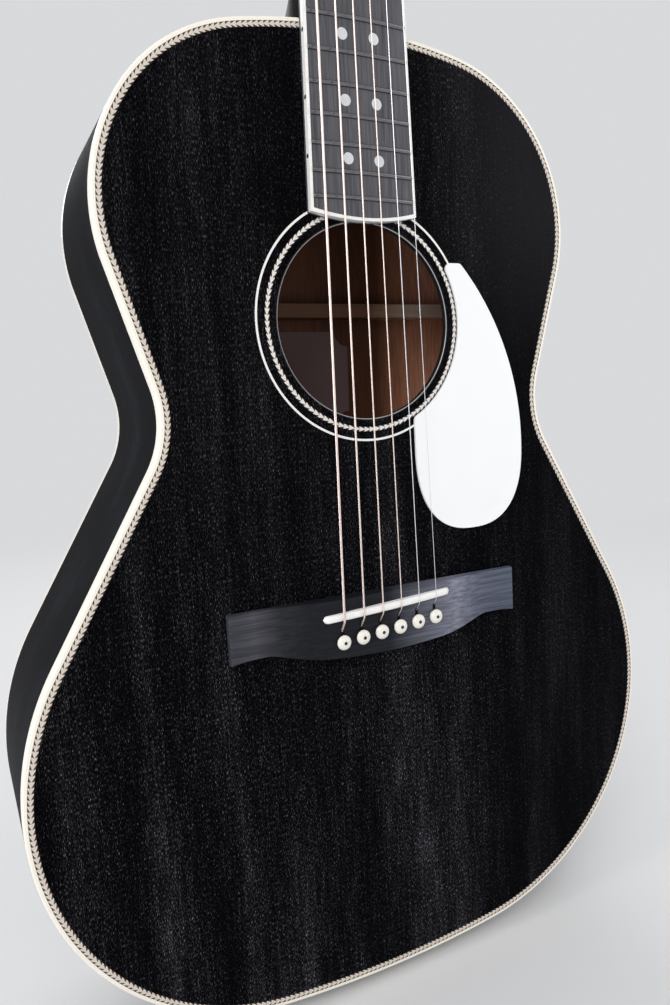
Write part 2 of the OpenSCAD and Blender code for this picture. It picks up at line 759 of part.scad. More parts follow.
// Dots stand square to the crowned face, a hair below it.
module marker_dots(gap) {
    for (n = marker_frets, s = [-1, 1])
        translate([0, crown_y, between(n)]) rotate([0, 0, s * asin(marker_x / board_r)])
            translate([0, -board_r + marker_sunk - past * sign(gap), 0]) rotate([-90, 0, 0])
                cylinder(h = inlay_t + past * sign(gap), r = marker_w / 2 + gap);
}
module fingerboard() {
    color("#3a3a3e") seated() difference() {
        crowned() union() {
            slab(-board_ledge, 0) polygon(board_plan(0));
            slab(-2 * board_t, 0) polygon(board_plan(board_bind_w));
        }
        for (n = [1:frets_n])
            wire(n) translate([board_r - tang_t - inlay_gap, -tang_w / 2 - inlay_gap])
                square([tang_t + past, tang_w + 2 * inlay_gap]);
        marker_dots(inlay_gap);
    }
}
dot_r = 1;
dot_l = board_bind_w - 0.3;
module side_dot_cuts(gap) {
    for (n = marker_frets, s = n == 12 ? [-1, 1] : [0])
        let (z = between(n) + 4 * s)
        translate([-board_half_w(z) - past * sign(gap), -board_ledge - dot_r - 0.4, z]) rotate([0, 90, 0])
            cylinder(h = dot_l + past * sign(gap), r = dot_r + gap, $fn = 24);
}
module fingerboard_binding() {
    color("#f4f1e8") seated() difference() {
        crowned() slab(-2 * board_t, -board_ledge) difference() {
            polygon(board_plan(0));
            polygon(concat([for (p = board_plan(board_bind_w)) if (p[1] < board_top_z - eps) p],
                [[nut_w / 2 - board_bind_w, board_top_z + past],
                    [board_bind_w - nut_w / 2, board_top_z + past]]));
        }
        side_dot_cuts(inlay_gap);
    }
}
module side_dots() { color("#111111") seated() side_dot_cuts(0); }
module frets() {
    color("#c9c9cc") seated() for (n = [1:frets_n])
        wire(n) {
            translate([board_r - tang_t, -tang_w / 2]) square([tang_t + eps, tang_w]);
            intersection() {
                translate([board_r, 0]) circle(fret_r, $fn = 32);
                translate([board_r, -fret_r]) square(2 * fret_r);
            }
        }
}
module position_markers() { color("#e6e6ea") seated() marker_dots(0); }
module nut() {
    lip = 0.6;
    over = 0.5;
    color("#f4f1ea") seated() difference() {
        translate([0, 0, board_top_z]) linear_extrude(nut_t)
            polygon(concat([[-nut_w / 2, 0]],
                [for (k = [-8:8]) let (x = nut_w / 2 * k / 8)
                    [x, -(board_t - x * x / (2 * board_r) + nut_action + lip)]],
                [[nut_w / 2, 0]]));
        for (i = [0:strings_n - 1])
            translate([nut_x(i) - string_d[i] / 2 - 3 * string_gap, -2 * board_t, board_top_z - over])
                cube([string_d[i] + 6 * string_gap, 2 * board_t - nut_h(i) + string_gap, nut_t + 2 * over]);
    }
}

// Neck and headstock

function d_slice(w, t) = concat([[w / 2, 0]],
    [for (k = [1:11]) [w / 2 * cos(15 * k), t * pow(sin(15 * k), 0.86)]], [[-w / 2, 0]]);
volute_l = 24;
slice = 0.02;
shaft_end_z = board_top_z - volute_l;
function shaft_t(z) = neck_t_heel + (neck_t_nut - neck_t_heel) * (z - body_l) / (board_top_z - body_l);
module shaft_slice(z) {
    translate([0, 0, z]) linear_extrude(slice) polygon(d_slice(2 * board_half_w(z), shaft_t(z)));
}
heel_end = neck_depth - heel_cap_t;
heel_from = neck_t_heel * 0.55;
heel_cove = 46;
heel_root = 6;
function heel_share(y) = (heel_end - y) / (heel_end - heel_from);
function heel_half_w(y) = heel_tip_w / 2 + (joint_w - heel_tip_w) / 2 * pow(heel_share(y), 1.25);
function heel_len(y) = heel_tip_l + heel_cove * (1 - sqrt(max(0, 1 - pow(heel_share(y), 2))));
function heel_plan(y) = concat([[heel_half_w(y), body_l - heel_root]],
    [for (k = [0:12]) [heel_half_w(y) * cos(15 * k), body_l + heel_len(y) * pow(sin(15 * k), 0.9)]],
    [[-heel_half_w(y), body_l - heel_root]]);
heel_ys = [for (s = [0, 0.12, 0.3, 0.55, 1]) heel_from + (heel_end - heel_from - slice) * s];
module heel() {
    for (k = [0:len(heel_ys) - 2])
        hull() {
            slab(heel_ys[k], heel_ys[k] + slice) polygon(heel_plan(heel_ys[k]));
            slab(heel_ys[k + 1], heel_ys[k + 1] + slice) polygon(heel_plan(heel_ys[k + 1]));
        }
}
shoulder_l = 34;
head_arch = 7;
function head_half(z) = z < shoulder_l
    ? nut_w / 2 + 0.5 + (head_shoulder_w - nut_w - 1) / 2 * ease(z / shoulder_l)
    : head_shoulder_w / 2
        + (head_w - head_shoulder_w) / 2 * (z - shoulder_l) / (head_l - head_arch - shoulder_l);
head_side = concat([for (k = [0:8]) shoulder_l * k / 8], [head_l - head_arch]);
module head_plan() {
    polygon(concat([for (z = head_side) [head_half(z), z]],
        [for (k = [7:-1:-7]) [head_w / 2 * k / 8, head_l - head_arch * pow(k / 8, 2)]],
        [for (z = reversed(head_side)) [-head_half(z), z]]));
}
module at_posts() {
    for (i = [0:strings_n - 1]) translate([side_of[i] * post_x, 0, post_zs[i]]) children();
}
module plate_screw_spots() {
    for (v = [-1, 1])
        translate([0, 0, plate_lift - worm_off / 2 + v * (plate_l / 2 - screw_inset)]) children();
}
module pocket() {
    translate([-pocket_w / 2, -past - veneer_t, cover_from])
        cube([pocket_w, truss_y + truss_nut_r + past + veneer_t, pocket_l]);
}
module truss_channel(gap) {
    translate([0, truss_y, body_l - tenon_l / 2])
        cylinder(h = head_z + 12 - body_l + tenon_l / 2, r = truss_r + gap);
}
module neck() {
    color("#232326") seated() union() {
        difference() {
            union() {
                hull() {
                    shaft_slice(body_l - heel_root);
                    shaft_slice(shaft_end_z - slice);
                }
                hull() {
                    shaft_slice(shaft_end_z - slice);
                    head() slab(0, head_t) translate([-nut_w / 2, 0]) square([nut_w, 3]);
                }
                heel();
                head() slab(0, head_t) head_plan();
            }
            slab(-past, deep) outline(0);
            truss_channel(inlay_gap);
            translate([-truss_r - inlay_gap, -past, body_l - past])
                cube([2 * (truss_r + inlay_gap), truss_y + past, board_top_z - body_l + past]);
            head() {
                pocket();
                at_posts() along_y(0, 0, -past, head_t + past, bush_r + inlay_gap);
                at_posts() plate_screw_spots()
                    along_y(0, 0, head_t - screw_l, head_t + past, screw_r + inlay_gap);
                for (p = cover_screws) along_y(p[0], p[1], -past, screw_l, screw_r + inlay_gap);
            }
        }
        tenon();
    }
}
module tenon() {
    difference() {
        intersection() {
            dovetail(0);
            slab(0, deep) translate([-joint_w, 0]) square([2 * joint_w, body_l + eps]);
        }
        truss_channel(inlay_gap);
        translate([-truss_r - inlay_gap, -past, body_l - tenon_l / 2])
            cube([2 * (truss_r + inlay_gap), truss_y + past, tenon_l]);
    }
}
module heel_cap() {
    color("#f1e9d8") seated() difference() {
        slab(heel_end, neck_depth) polygon(heel_plan(heel_end));
        slab(-past, deep) outline(0);
    }
}
module head_veneer() {
    color("#1d1d20") seated() head() difference() {
        slab(-veneer_t, 0) head_plan();
        pocket();
        at_posts() along_y(0, 0, -veneer_t - past, past, bush_r + inlay_gap);
        for (p = cover_screws) along_y(p[0], p[1], -veneer_t - past, past, screw_r + inlay_gap);
    }
}
module truss_rod() {
    color("#8d8d90") seated() translate([0, truss_y, body_l - tenon_l / 2 + inlay_gap])
        cylinder(h = truss_nut_z() + truss_nut_l / 2 - body_l + tenon_l / 2, r = truss_r - truss_nut_gap);
}
function truss_nut_z() = head_z + cover_from;
module truss_rod_nut() {
    color("#c2a14d") seated() translate([0, truss_y, truss_nut_z()]) difference() {
        cylinder(h = truss_nut_l, r = truss_nut_r, $fn = 6);
        translate([0, 0, -past])
            cylinder(h = truss_nut_l + 2 * past, r = truss_r - truss_nut_gap + run_gap);
    }
}
cover_waist = 0.72;
function cover_half(t) = cover_w / 2 * (1 - (1 - cover_waist) * sin(180 * t)) * sqrt(1 - pow(t, 6));
module truss_rod_cover() {
    color("#26262a") seated() head() difference() {
        slab(-veneer_t - cover_t, -veneer_t) polygon(concat(
            [for (k = [0:10]) [cover_half(k / 10), cover_from + cover_l * k / 10]],
            [for (k = [9:-1:0]) [-cover_half(k / 10), cover_from + cover_l * k / 10]]));
        for (p = cover_screws)
            along_y(p[0], p[1], -veneer_t - cover_t - past, past, screw_r + inlay_gap);
    }
}
module wood_screw(l) {
    cylinder(h = l, r = screw_r);
    translate([0, 0, -screw_head_t]) cylinder(h = screw_head_t, r1 = screw_head_r * 0.7, r2 = screw_head_r);
}
module headstock_screws() {
    color("#b8b8ba") seated() head() {
        at_posts() plate_screw_spots()
            translate([0, head_t + plate_t, 0]) rotate([90, 0, 0]) wood_screw(screw_l);
        for (p = cover_screws)
            translate([p[0], -veneer_t - cover_t, p[1]]) rotate([-90, 0, 0]) wood_screw(screw_l);
    }
}

// Tuners; each is drawn for the treble side and mirrored for the bass side.

module at_tuner(i) {
    seated() head() translate([side_of[i] * post_x, 0, post_zs[i]]) scale_side(side_of[i]) children();
}
module scale_side(s) {
    if (s < 0) mirror([1, 0, 0]) children();
    else children();
}
module tuner_plate() {
    difference() {
        union() {
            translate([-plate_w / 2, head_t, plate_lift - worm_off / 2 - plate_l / 2])
                cube([plate_w, plate_t, plate_l]);
            for (s = [-1, 1]) translate([s * (ear_in + ear_t / 2) - ear_t / 2, head_t, -worm_off]) {
                translate([0, plate_t / 2, -ear_r]) cube([ear_t, gear_mid - plate_t / 2, 2 * ear_r]);
                translate([0, gear_mid, 0]) rotate([0, 90, 0]) cylinder(h = ear_t, r = ear_r);
            }
        }
        along_y(0, 0, head_t - past, head_t + plate_t + past, post_r + run_gap);
        translate([-plate_w, head_t + gear_mid, -worm_off]) rotate([0, 90, 0])
            cylinder(h = 2 * plate_w, r = shaft_r + run_gap);
        plate_screw_spots() along_y(0, 0, head_t - past, head_t + plate_t + past, screw_r + inlay_gap);
    }
}
module tuner_plates() { color("#b9b9bc") for (i = [0:strings_n - 1]) at_tuner(i) tuner_plate(); }
module bushing() {
    difference() {
        union() {
            along_y(0, 0, -veneer_t, bush_l - veneer_t, bush_r);
            along_y(0, 0, -veneer_t - bush_flange_t, -veneer_t, bush_flange_r);
        }
        along_y(0, 0, -veneer_t - bush_flange_t - past, bush_l + past, post_r + run_gap);
    }
}
module tuner_bushings() { color("#b9b9bc") for (i = [0:strings_n - 1]) at_tuner(i) bushing(); }

module gear() {
    tip = 0.3;
    base = 0.52;
    sunk = 0.4;
    along_y(0, 0, -gear_t / 2, gear_t / 2, gear_root_r);
    for (k = [0:gear_teeth - 1])
        rotate([0, 360 * (k + 0.25 * gear_teeth) / gear_teeth, 0]) rotate([-worm_lead, 0, 0])
            slab(-gear_t / 2, gear_t / 2)
                polygon([[gear_root_r - sunk, base], [gear_tip_r, tip], [gear_tip_r, -tip],
                    [gear_root_r - sunk, -base]]);
}
module post() {
    hub_r = post_r + 1.2;
    difference() {
        union() {
            along_y(0, 0, -veneer_t - post_rise, head_t + gear_mid, post_r);
            along_y(0, 0, head_t + plate_t + 2 * run_gap, head_t + gear_mid, hub_r);
            translate([0, head_t + gear_mid, 0]) gear();
            along_y(0, 0, head_t + gear_mid, head_t + gear_mid + gear_t / 2 + 1.4, post_r - 0.3);
        }
        translate([-2 * post_r, -veneer_t - post_rise + 4, 0]) rotate([0, 90, 0])
            cylinder(h = 4 * post_r, r = 0.9);
    }
}
function wind_r(i) = post_r + string_d[i] / 2 + string_gap;
function wind_pitch(i) = string_d[i] + wind_gap;
function wind_y(i, a) = -veneer_t - wind_lift - wind_pitch(i) * (a - wind_from) / 360;
function wind_pt(i, a) = [-wind_r(i) * cos(a), wind_y(i, a), wind_r(i) * sin(a)];
function wind_dir(a) = [sin(a), 0, cos(a)];
function wind_end(i) = wind_from + 360 * turns[i];
function winding(i) = concat(
    [wind_pt(i, wind_from) - string_d[i] * wind_dir(wind_from)],
    [for (k = [0:24 * turns[i]]) wind_pt(i, wind_from + 15 * k)],
    [wind_pt(i, wind_end(i)) + string_d[i] * wind_dir(wind_end(i))]);
function least_gap(i) = let (p = winding(i), n = len(p))
    min([for (a = [0:n - 1], b = [a + 12:1:n - 1]) norm(p[a] - p[b])]) - string_d[i];
for (i = [0:strings_n - 1]) echo(string = i + 1, least_gap_of_winding = least_gap(i));
module string_post(i) {
    color("#c4c4c7") at_tuner(i) {
        post();
        tube(winding(i), string_d[i] / 2, 6, [0, 1, 0]);
    }
}
worm_cam = concat([for (a = [-90, -45, 0, 45, 90]) worm_root_r * [cos(a), sin(a)]],
    [for (a = [130, 180, 230]) worm_tip_r * [cos(a), sin(a)]]);
worm_slices = 12;
module worm_shaft(i) {
    inner_end = ear_out + 1;
    color("#c4c4c7") at_tuner(i) translate([0, head_t + gear_mid, -worm_off]) rotate([0, 90, 0]) {
        translate([0, 0, -worm_l / 2]) rotate(180 + 180 * worm_turns)
            linear_extrude(worm_l, twist = -360 * worm_turns, slices = worm_slices * worm_turns, $fn = 8)
                polygon(worm_cam);
        translate([0, 0, worm_l / 2]) cylinder(h = button_at + button_grip - worm_l / 2, r = shaft_r);
        translate([0, 0, -inner_end]) cylinder(h = inner_end - worm_l / 2, r = shaft_r);
    }
}
module tuner_button(i) {
    collar_r = 3;
    ball = button_t / 2;
    color("#e9e2d2") at_tuner(i) translate([button_at, head_t + gear_mid, -worm_off])
            rotate([0, 90, 0]) difference() {
        union() {
            cylinder(h = ball, r1 = collar_r - 0.4, r2 = collar_r);
            hull() for (z = [ball + 0.6, button_w - ball], x = [-1, 1])
                translate([x * (button_l / 2 - ball), 0, z]) sphere(r = ball, $fn = 16);
        }
        translate([0, 0, -past]) cylinder(h = button_grip + inlay_gap + past, r = shaft_r + inlay_gap);
    }
}

// Strings

under_y = top_t + plate_under_t;
ball_off = pin_hole_r + ball_r + 2 * string_gap;
function string_route(i) =
    let (h = nut_h(i) + string_d[i] / 2, p = pin_at(i), rest = over_saddle(i), drop_z = into_pin(i))
    [head_pt([side_of[i] * (post_x - wind_r(i)), wind_y(i, wind_from), post_zs[i]]),
        [nut_x(i), -h, board_top_z + nut_t],
        [saddle_x(i), -rest, saddle_at(i)],
        [saddle_x(i), -rest, behind_saddle(i)],
        [p[0], -string_dive, drop_z],
        [p[0], under_y + ball_r * 0.6, drop_z],
        [p[0], under_y + ball_r * 0.8, p[1] + ball_off - ball_r - string_gap]];
module strings() {
    color("#c08a63") seated() for (i = [0:strings_n - 1])
        tube(string_route(i), string_d[i] / 2, 8, [1, 0, 0]);
}
module ball_ends() {
    y = under_y + ball_r + string_gap;
    color("#b08d57") seated() for (i = [0:strings_n - 1])
        translate([pin_at(i)[0] - ball_l / 2, y, pin_at(i)[1] + ball_off]) rotate([0, 90, 0])
            cylinder(h = ball_l, r = ball_r);
}

soundboard();
back_plate();
bass_rib();
treble_rib();
neck_block();
tail_block();
top_linings();
back_linings();
top_braces();
bridge_plate();
back_braces();
paper_label();
top_binding();
top_purfling();
back_binding();
hole_edging();
rosette_rings();
rosette_herringbone();
bridge();
saddle();
bridge_pins();
pickguard();
end_pin();
fingerboard();
fingerboard_binding();
frets();
position_markers();
side_dots();
nut();
neck();
head_veneer();
truss_rod();
truss_rod_nut();
truss_rod_cover();
headstock_screws();
heel_cap();
tuner_plates();
tuner_bushings();
strings();
ball_ends();
for (i = [0:strings_n - 1]) {
    string_post(i);
    worm_shaft(i);
    tuner_button(i);
}
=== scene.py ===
"""Finished looks of a small-bodied acoustic guitar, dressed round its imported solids.

The guitar's sizes are in millimetres; point() turns them into the scene's metres. Surface reliefs, floor and
lamps are in metres. Depths are counted from the soundboard towards the back, heights from the tail upwards.
"""

from math import acos, atan, atan2, cos, degrees, pi, radians, sin, sqrt, tan, tau

import bmesh
import bpy
from mathutils import Matrix, Vector
from mathutils.geometry import tessellate_polygon


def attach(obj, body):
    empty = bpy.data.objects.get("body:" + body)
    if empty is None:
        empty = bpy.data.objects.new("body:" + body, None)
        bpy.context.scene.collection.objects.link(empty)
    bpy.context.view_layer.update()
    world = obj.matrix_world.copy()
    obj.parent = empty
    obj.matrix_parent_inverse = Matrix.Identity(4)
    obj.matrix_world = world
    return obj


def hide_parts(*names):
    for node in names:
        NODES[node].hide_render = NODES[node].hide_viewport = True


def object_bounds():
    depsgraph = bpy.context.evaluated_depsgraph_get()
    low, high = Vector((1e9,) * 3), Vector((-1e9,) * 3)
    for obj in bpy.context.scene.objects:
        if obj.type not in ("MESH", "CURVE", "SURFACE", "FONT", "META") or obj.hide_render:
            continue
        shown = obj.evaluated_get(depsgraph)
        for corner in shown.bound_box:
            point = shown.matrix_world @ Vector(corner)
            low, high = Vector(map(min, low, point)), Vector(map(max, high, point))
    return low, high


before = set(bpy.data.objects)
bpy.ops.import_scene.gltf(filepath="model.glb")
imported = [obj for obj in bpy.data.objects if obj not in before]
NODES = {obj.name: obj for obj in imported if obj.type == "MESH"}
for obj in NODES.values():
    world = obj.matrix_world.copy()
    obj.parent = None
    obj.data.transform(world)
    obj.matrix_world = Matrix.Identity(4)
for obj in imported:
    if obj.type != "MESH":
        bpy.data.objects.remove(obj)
CAD_BOX = [list(corner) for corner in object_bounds()]

MM = 0.001
HALF_DEPTH = 50.0


def point(x, depth, z):
    """A place on the guitar, from millimetres counted from the soundboard."""
    return Vector((x, depth - HALF_DEPTH, z)) * MM


def between(a, b, t):
    return a + (b - a) * t


def ease(t):
    """A smooth rise from 0 to 1, level beyond both ends."""
    c = min(1.0, max(0.0, t))
    return c * c * (3 - 2 * c)


# Body outline: five arcs on each side that run into one another

BODY_L = 490.0
LOWER_W, LOWER_Z, TAIL_R = 364.0, 134.0, 600.0
WAIST_W, WAIST_Z, WAIST_R = 216.0, 308.0, 48.0
UPPER_W, UPPER_DROP, SHOULDER_R = 259.0, 90.0, 312.0
TAIL_DEPTH, NECK_DEPTH, BACK_R = 100.0, 85.0, 4500.0
TOP_T, BACK_T, RIM_T = 3.0, 2.6, 2.0
BIND_H, BACK_BIND_H, PURF_W, INLAY_T = 7.0, 6.0, 2.8, 1.4


def side_radius(end_r, half_w, off):
    """Radius of a side arc that meets an end arc smoothly."""
    return (2 * off * end_r - half_w ** 2 - off ** 2) / (2 * (end_r - half_w))


LOWER_R = side_radius(TAIL_R, LOWER_W / 2, LOWER_Z)
UPPER_R = side_radius(SHOULDER_R, UPPER_W / 2, UPPER_DROP)
TAIL_C = Vector((0, TAIL_R))
LOWER_C = Vector((LOWER_W / 2 - LOWER_R, LOWER_Z))
WAIST_C = Vector((WAIST_W / 2 + WAIST_R, WAIST_Z))
UPPER_C = Vector((UPPER_W / 2 - UPPER_R, BODY_L - UPPER_DROP))
SHOULDER_C = Vector((0, BODY_L - SHOULDER_R))


def heading(a, b):
    return atan2(b.y - a.y, b.x - a.x)


def turn_between(side_c, side_r, sign):
    """Direction from a bout's centre to the place where its arc meets the waist."""
    gap = (WAIST_C - side_c).length
    return heading(side_c, WAIST_C) + sign * acos((side_r + WAIST_R) / gap)


LOWER_TURN = turn_between(LOWER_C, LOWER_R, -1)
UPPER_TURN = turn_between(UPPER_C, UPPER_R, 1)
TAIL_TURN = heading(TAIL_C, LOWER_C)
SHOULDER_TURN = heading(SHOULDER_C, UPPER_C)


def arc(centre, r, start, end, steps):
    out = []
    for i in range(steps + 1):
        a = start + (end - start) * i / steps
        out.append(centre + r * Vector((cos(a), sin(a))))
    return out


def half_outline(inset):
    """Treble half of the outline, drawn in by inset, from the tail to the neck joint."""
    runs = [
        arc(TAIL_C, TAIL_R - inset, -pi / 2, TAIL_TURN, 16),
        arc(LOWER_C, LOWER_R - inset, TAIL_TURN, LOWER_TURN, 56),
        arc(WAIST_C, WAIST_R + inset, LOWER_TURN + pi, UPPER_TURN + pi, 32),
        arc(UPPER_C, UPPER_R - inset, UPPER_TURN, SHOULDER_TURN, 40),
        arc(SHOULDER_C, SHOULDER_R - inset, SHOULDER_TURN, pi / 2, 16),
    ]
    out = list(runs[0])
    for run in runs[1:]:
        out += run[1:]
    return out


def whole_outline(inset):
    """Closed outline that starts and ends at the middle of the tail."""
    half = half_outline(inset)
    return half + [Vector((-p.x, p.y)) for p in reversed(half[:-1])]


def dome_centre():
    run = Vector((BODY_L, NECK_DEPTH - TAIL_DEPTH))
    out = Vector((-run.y, run.x)).normalized()
    return Vector((0, TAIL_DEPTH)) + run / 2 - out * sqrt(BACK_R ** 2 - run.length_squared / 4)


DOME_C = dome_centre()


def back_depth(x, z, up):
    """Depth of the domed back at a place, less a thickness."""
    return DOME_C.y + sqrt((BACK_R - up) ** 2 - x ** 2 - (z - DOME_C.x) ** 2)


# Meshes


def add_piece(name, shape, materials, slot, nodes, body="guitar", sharp=35.0, face_slots=None):
    """A mesh piece that rides on a body and stands for solids of the part."""
    verts, faces = shape
    mesh = bpy.data.meshes.new(name)
    mesh.from_pydata([tuple(v) for v in verts], [], faces)
    obj = bpy.data.objects.new(name, mesh)
    bpy.context.scene.collection.objects.link(obj)
    for material in materials:
        mesh.materials.append(material)
    if face_slots:
        mesh.polygons.foreach_set("material_index", face_slots)
    tidy = bmesh.new()
    tidy.from_mesh(mesh)
    bmesh.ops.recalc_face_normals(tidy, faces=tidy.faces)
    tidy.to_mesh(mesh)
    tidy.free()
    mesh.polygons.foreach_set("use_smooth", [True] * len(mesh.polygons))
    mesh.set_sharp_from_angle(angle=radians(sharp))
    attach(obj, body)
    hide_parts(*nodes)
    return obj


def put_values(obj, name, values):
    """A number per vertex for a material to read."""
    attribute = obj.data.attributes.new(name, "FLOAT", "POINT")
    attribute.data.foreach_set("value", values)


def loft_faces(rows, columns, closed=False):
    """Quads over loops of points that are stored one after another."""
    faces = []
    for r in range(rows if closed else rows - 1):
        here, there = r * columns, (r + 1) % rows * columns
        for c in range(columns):
            d = (c + 1) % columns
            faces.append([here + c, here + d, there + d, there + c])
    return faces


def end_faces(rows, columns):
    """The first and the last loop as faces."""
    last = (rows - 1) * columns
    return [list(range(columns)), [last + c for c in range(columns)]]


def join_parts(parts):
    """One list of points and faces out of several."""
    verts, faces = [], []
    for part_verts, part_faces in parts:
        start = len(verts)
        verts += part_verts
        faces += [[start + i for i in face] for face in part_faces]
    return verts, faces


def loft(sections):
    """A closed solid through sections that are closed loops of equal length."""
    size = len(sections), len(sections[0])
    verts = [p for section in sections for p in section]
    return verts, loft_faces(*size) + end_faces(*size)


def circle(steps):
    """Cosine and sine at even turns round a circle."""
    turns = [tau * k / steps for k in range(steps)]
    return [(cos(a), sin(a)) for a in turns]


def lathe(profile, place, axis, around, steps=32):
    """A solid turned about an axis from (distance along it, radius) pairs."""
    side = axis.cross(around).normalized()
    up = side.cross(axis).normalized()
    sections = []
    for along, r in profile:
        middle = place + axis * along * MM
        sections.append([middle + (up * c + side * s) * r * MM for c, s in circle(steps)])
    return loft(sections)


def tube(path, r, sides, keep):
    """A round wire along a path; keep is a direction that it never follows."""
    sections = []
    for i, p in enumerate(path):
        run = (path[min(i + 1, len(path) - 1)] - path[max(i - 1, 0)]).normalized()
        a = run.cross(keep).normalized()
        b = a.cross(run)
        sections.append([p + (a * c + b * s) * r for c, s in circle(sides)])
    return loft(sections)


def rim_sweep(name, profile, outline_of, closed, materials, strip_slots=None, **options):
    """Carries a profile of (inset, depth) pairs along the outline; a depth may follow the domed back."""
    loops = [outline_of(inset) for inset, _ in profile]
    columns = len(profile)
    verts, along, across = [], [], []
    run = 0.0
    middle = outline_of(profile[0][0])
    for i in range(len(middle)):
        if i:
            run += (middle[i] - middle[i - 1]).length
        for j, (inset, depth) in enumerate(profile):
            p = loops[j][i]
            y = depth if isinstance(depth, (int, float)) else depth(p.x, p.y)
            verts.append(point(p.x, y, p.y))
            along.append(run)
            across.append(inset)
    faces = loft_faces(len(middle), columns)
    if not closed:
        faces += end_faces(len(middle), columns)
    if strip_slots:
        slots = strip_slots * (len(middle) - 1)
        options["face_slots"] = slots + [0] * (len(faces) - len(slots))
    obj = add_piece(name, (verts, faces), materials, **options)
    put_values(obj, "along", along)
    put_values(obj, "across", across)


# Shader groups shared by the finishes


def new_group(name, inputs, outputs):
    """A shader node group; an input named Vector is a vector, all the rest are numbers."""
    group = bpy.data.node_groups.new(name, "ShaderNodeTree")
    for label in inputs:
        kind = "NodeSocketVector" if label == "Vector" else "NodeSocketFloat"
        group.interface.new_socket(label, in_out="INPUT", socket_type=kind)
    for label in outputs:
        group.interface.new_socket(label, in_out="OUTPUT", socket_type="NodeSocketFloat")
    return group, group.nodes.new("NodeGroupInput").outputs, group.nodes.new("NodeGroupOutput").inputs


def feed(tree, socket, value):
    """Gives a socket a number, a colour or another socket's value."""
    if isinstance(value, (int, float)):
        socket.default_value = value
    elif isinstance(value, tuple):
        socket.default_value = (*value, 1.0)
    else:
        tree.links.new(value, socket)


def maths(tree, operation, a, b=None, c=None, clamp=False):
    node = tree.nodes.new("ShaderNodeMath")
    node.operation = operation
    node.use_clamp = clamp
    for socket, value in zip(node.inputs, (a, b, c)):
        if value is not None:
            feed(tree, socket, value)
    return node.outputs[0]


def noise(tree, vector, across, along, detail, rough):
    """Noise with one fineness across and another along local Z."""
    scaled = tree.nodes.new("ShaderNodeVectorMath")
    scaled.operation = "MULTIPLY"
    tree.links.new(vector, scaled.inputs[0])
    scaled.inputs[1].default_value = (across, across, along)
    node = tree.nodes.new("ShaderNodeTexNoise")
    tree.links.new(scaled.outputs[0], node.inputs["Vector"])
    for label, value in (("Scale", 1.0), ("Detail", detail), ("Roughness", rough)):
        node.inputs[label].default_value = value
    return node.outputs["Fac"]


def steps_between(tree, value, low, high):
    """0 below low, 1 above high, smooth between."""
    node = tree.nodes.new("ShaderNodeMapRange")
    node.interpolation_type = "SMOOTHSTEP"
    tree.links.new(value, node.inputs["Value"])
    node.inputs["From Min"].default_value = low
    node.inputs["From Max"].default_value = high
    return node.outputs["Result"]


# Noises: fineness across and along the grain, detail and roughness
SPECKS, THREADS, BANDS = (3500.0, 620.0, 1.0, 0.4), (900.0, 40.0, 2.0, 0.5), (50.0, 4.5, 3.0, 0.55)
FINE, BROAD, SMEARS = (900.0, 30.0, 3.0, 0.6), (90.0, 7.0, 3.0, 0.55), (60.0, 60.0, 4.0, 0.6)
THREAD_SHARE, PORE_GAIN, PORE_FLOOR, PORE_POWER = 0.3, 1.95, -1.38, 4.0
STREAK_RANGE, GRAIN_RANGE = (0.42, 0.8), (0.3, 0.7)
# Chevrons, as shares of the strip's width and of one chevron's run
CHEVRON_SLANT, GAP_SPREAD, GAP_START, GAP_SOFT, STRIP_EDGE = 1.3, 0.9, -0.05, 0.05, (0.43, 0.49)


def build_pore_group():
    """Open pores of stained mahogany: short specks, few of them bright, gathered in streaks along Z."""
    group, given, out = new_group("open_pores", ["Vector"], ["Pores", "Streaks"])
    where = given["Vector"]
    specks = noise(group, where, *SPECKS)
    threads = noise(group, where, *THREADS)
    bands = noise(group, where, *BANDS)
    threads_part = maths(group, "MULTIPLY", threads, THREAD_SHARE)
    bands_part = maths(group, "MULTIPLY", bands, THREAD_SHARE)
    height = maths(group, "ADD", specks, maths(group, "ADD", threads_part, bands_part))
    raised = maths(group, "MULTIPLY_ADD", height, PORE_GAIN, PORE_FLOOR, clamp=True)
    group.links.new(maths(group, "POWER", raised, PORE_POWER), out["Pores"])
    group.links.new(steps_between(group, bands, *STREAK_RANGE), out["Streaks"])
    return group


def build_grain_group():
    """Straight fine grain along local Z."""
    group, given, out = new_group("straight_grain", ["Vector"], ["Grain", "Figure"])
    fine = noise(group, given["Vector"], *FINE)
    broad = noise(group, given["Vector"], *BROAD)
    group.links.new(steps_between(group, fine, *GRAIN_RANGE), out["Grain"])
    group.links.new(steps_between(group, broad, *GRAIN_RANGE), out["Figure"])
    return group


def build_herringbone_group():
    """Chevrons of pale wood with dark gaps, from a run along the strip and a share across it."""
    group, given, out = new_group("herringbone", ["Along", "Across"], ["Pale"])
    off_middle = maths(group, "ABSOLUTE", maths(group, "SUBTRACT", given["Across"], 0.5))
    slanted = maths(group, "ADD", given["Along"], maths(group, "MULTIPLY", off_middle, CHEVRON_SLANT))
    into_gap = maths(group, "ABSOLUTE", maths(group, "SUBTRACT", maths(group, "FRACT", slanted), 0.5))
    half_gap = maths(group, "MULTIPLY_ADD", off_middle, GAP_SPREAD, GAP_START)
    pale = steps_between(group, maths(group, "SUBTRACT", into_gap, half_gap), -GAP_SOFT, GAP_SOFT)
    inside = maths(group, "SUBTRACT", 1.0, steps_between(group, off_middle, *STRIP_EDGE))
    group.links.new(maths(group, "MULTIPLY", pale, inside), out["Pale"])
    return group


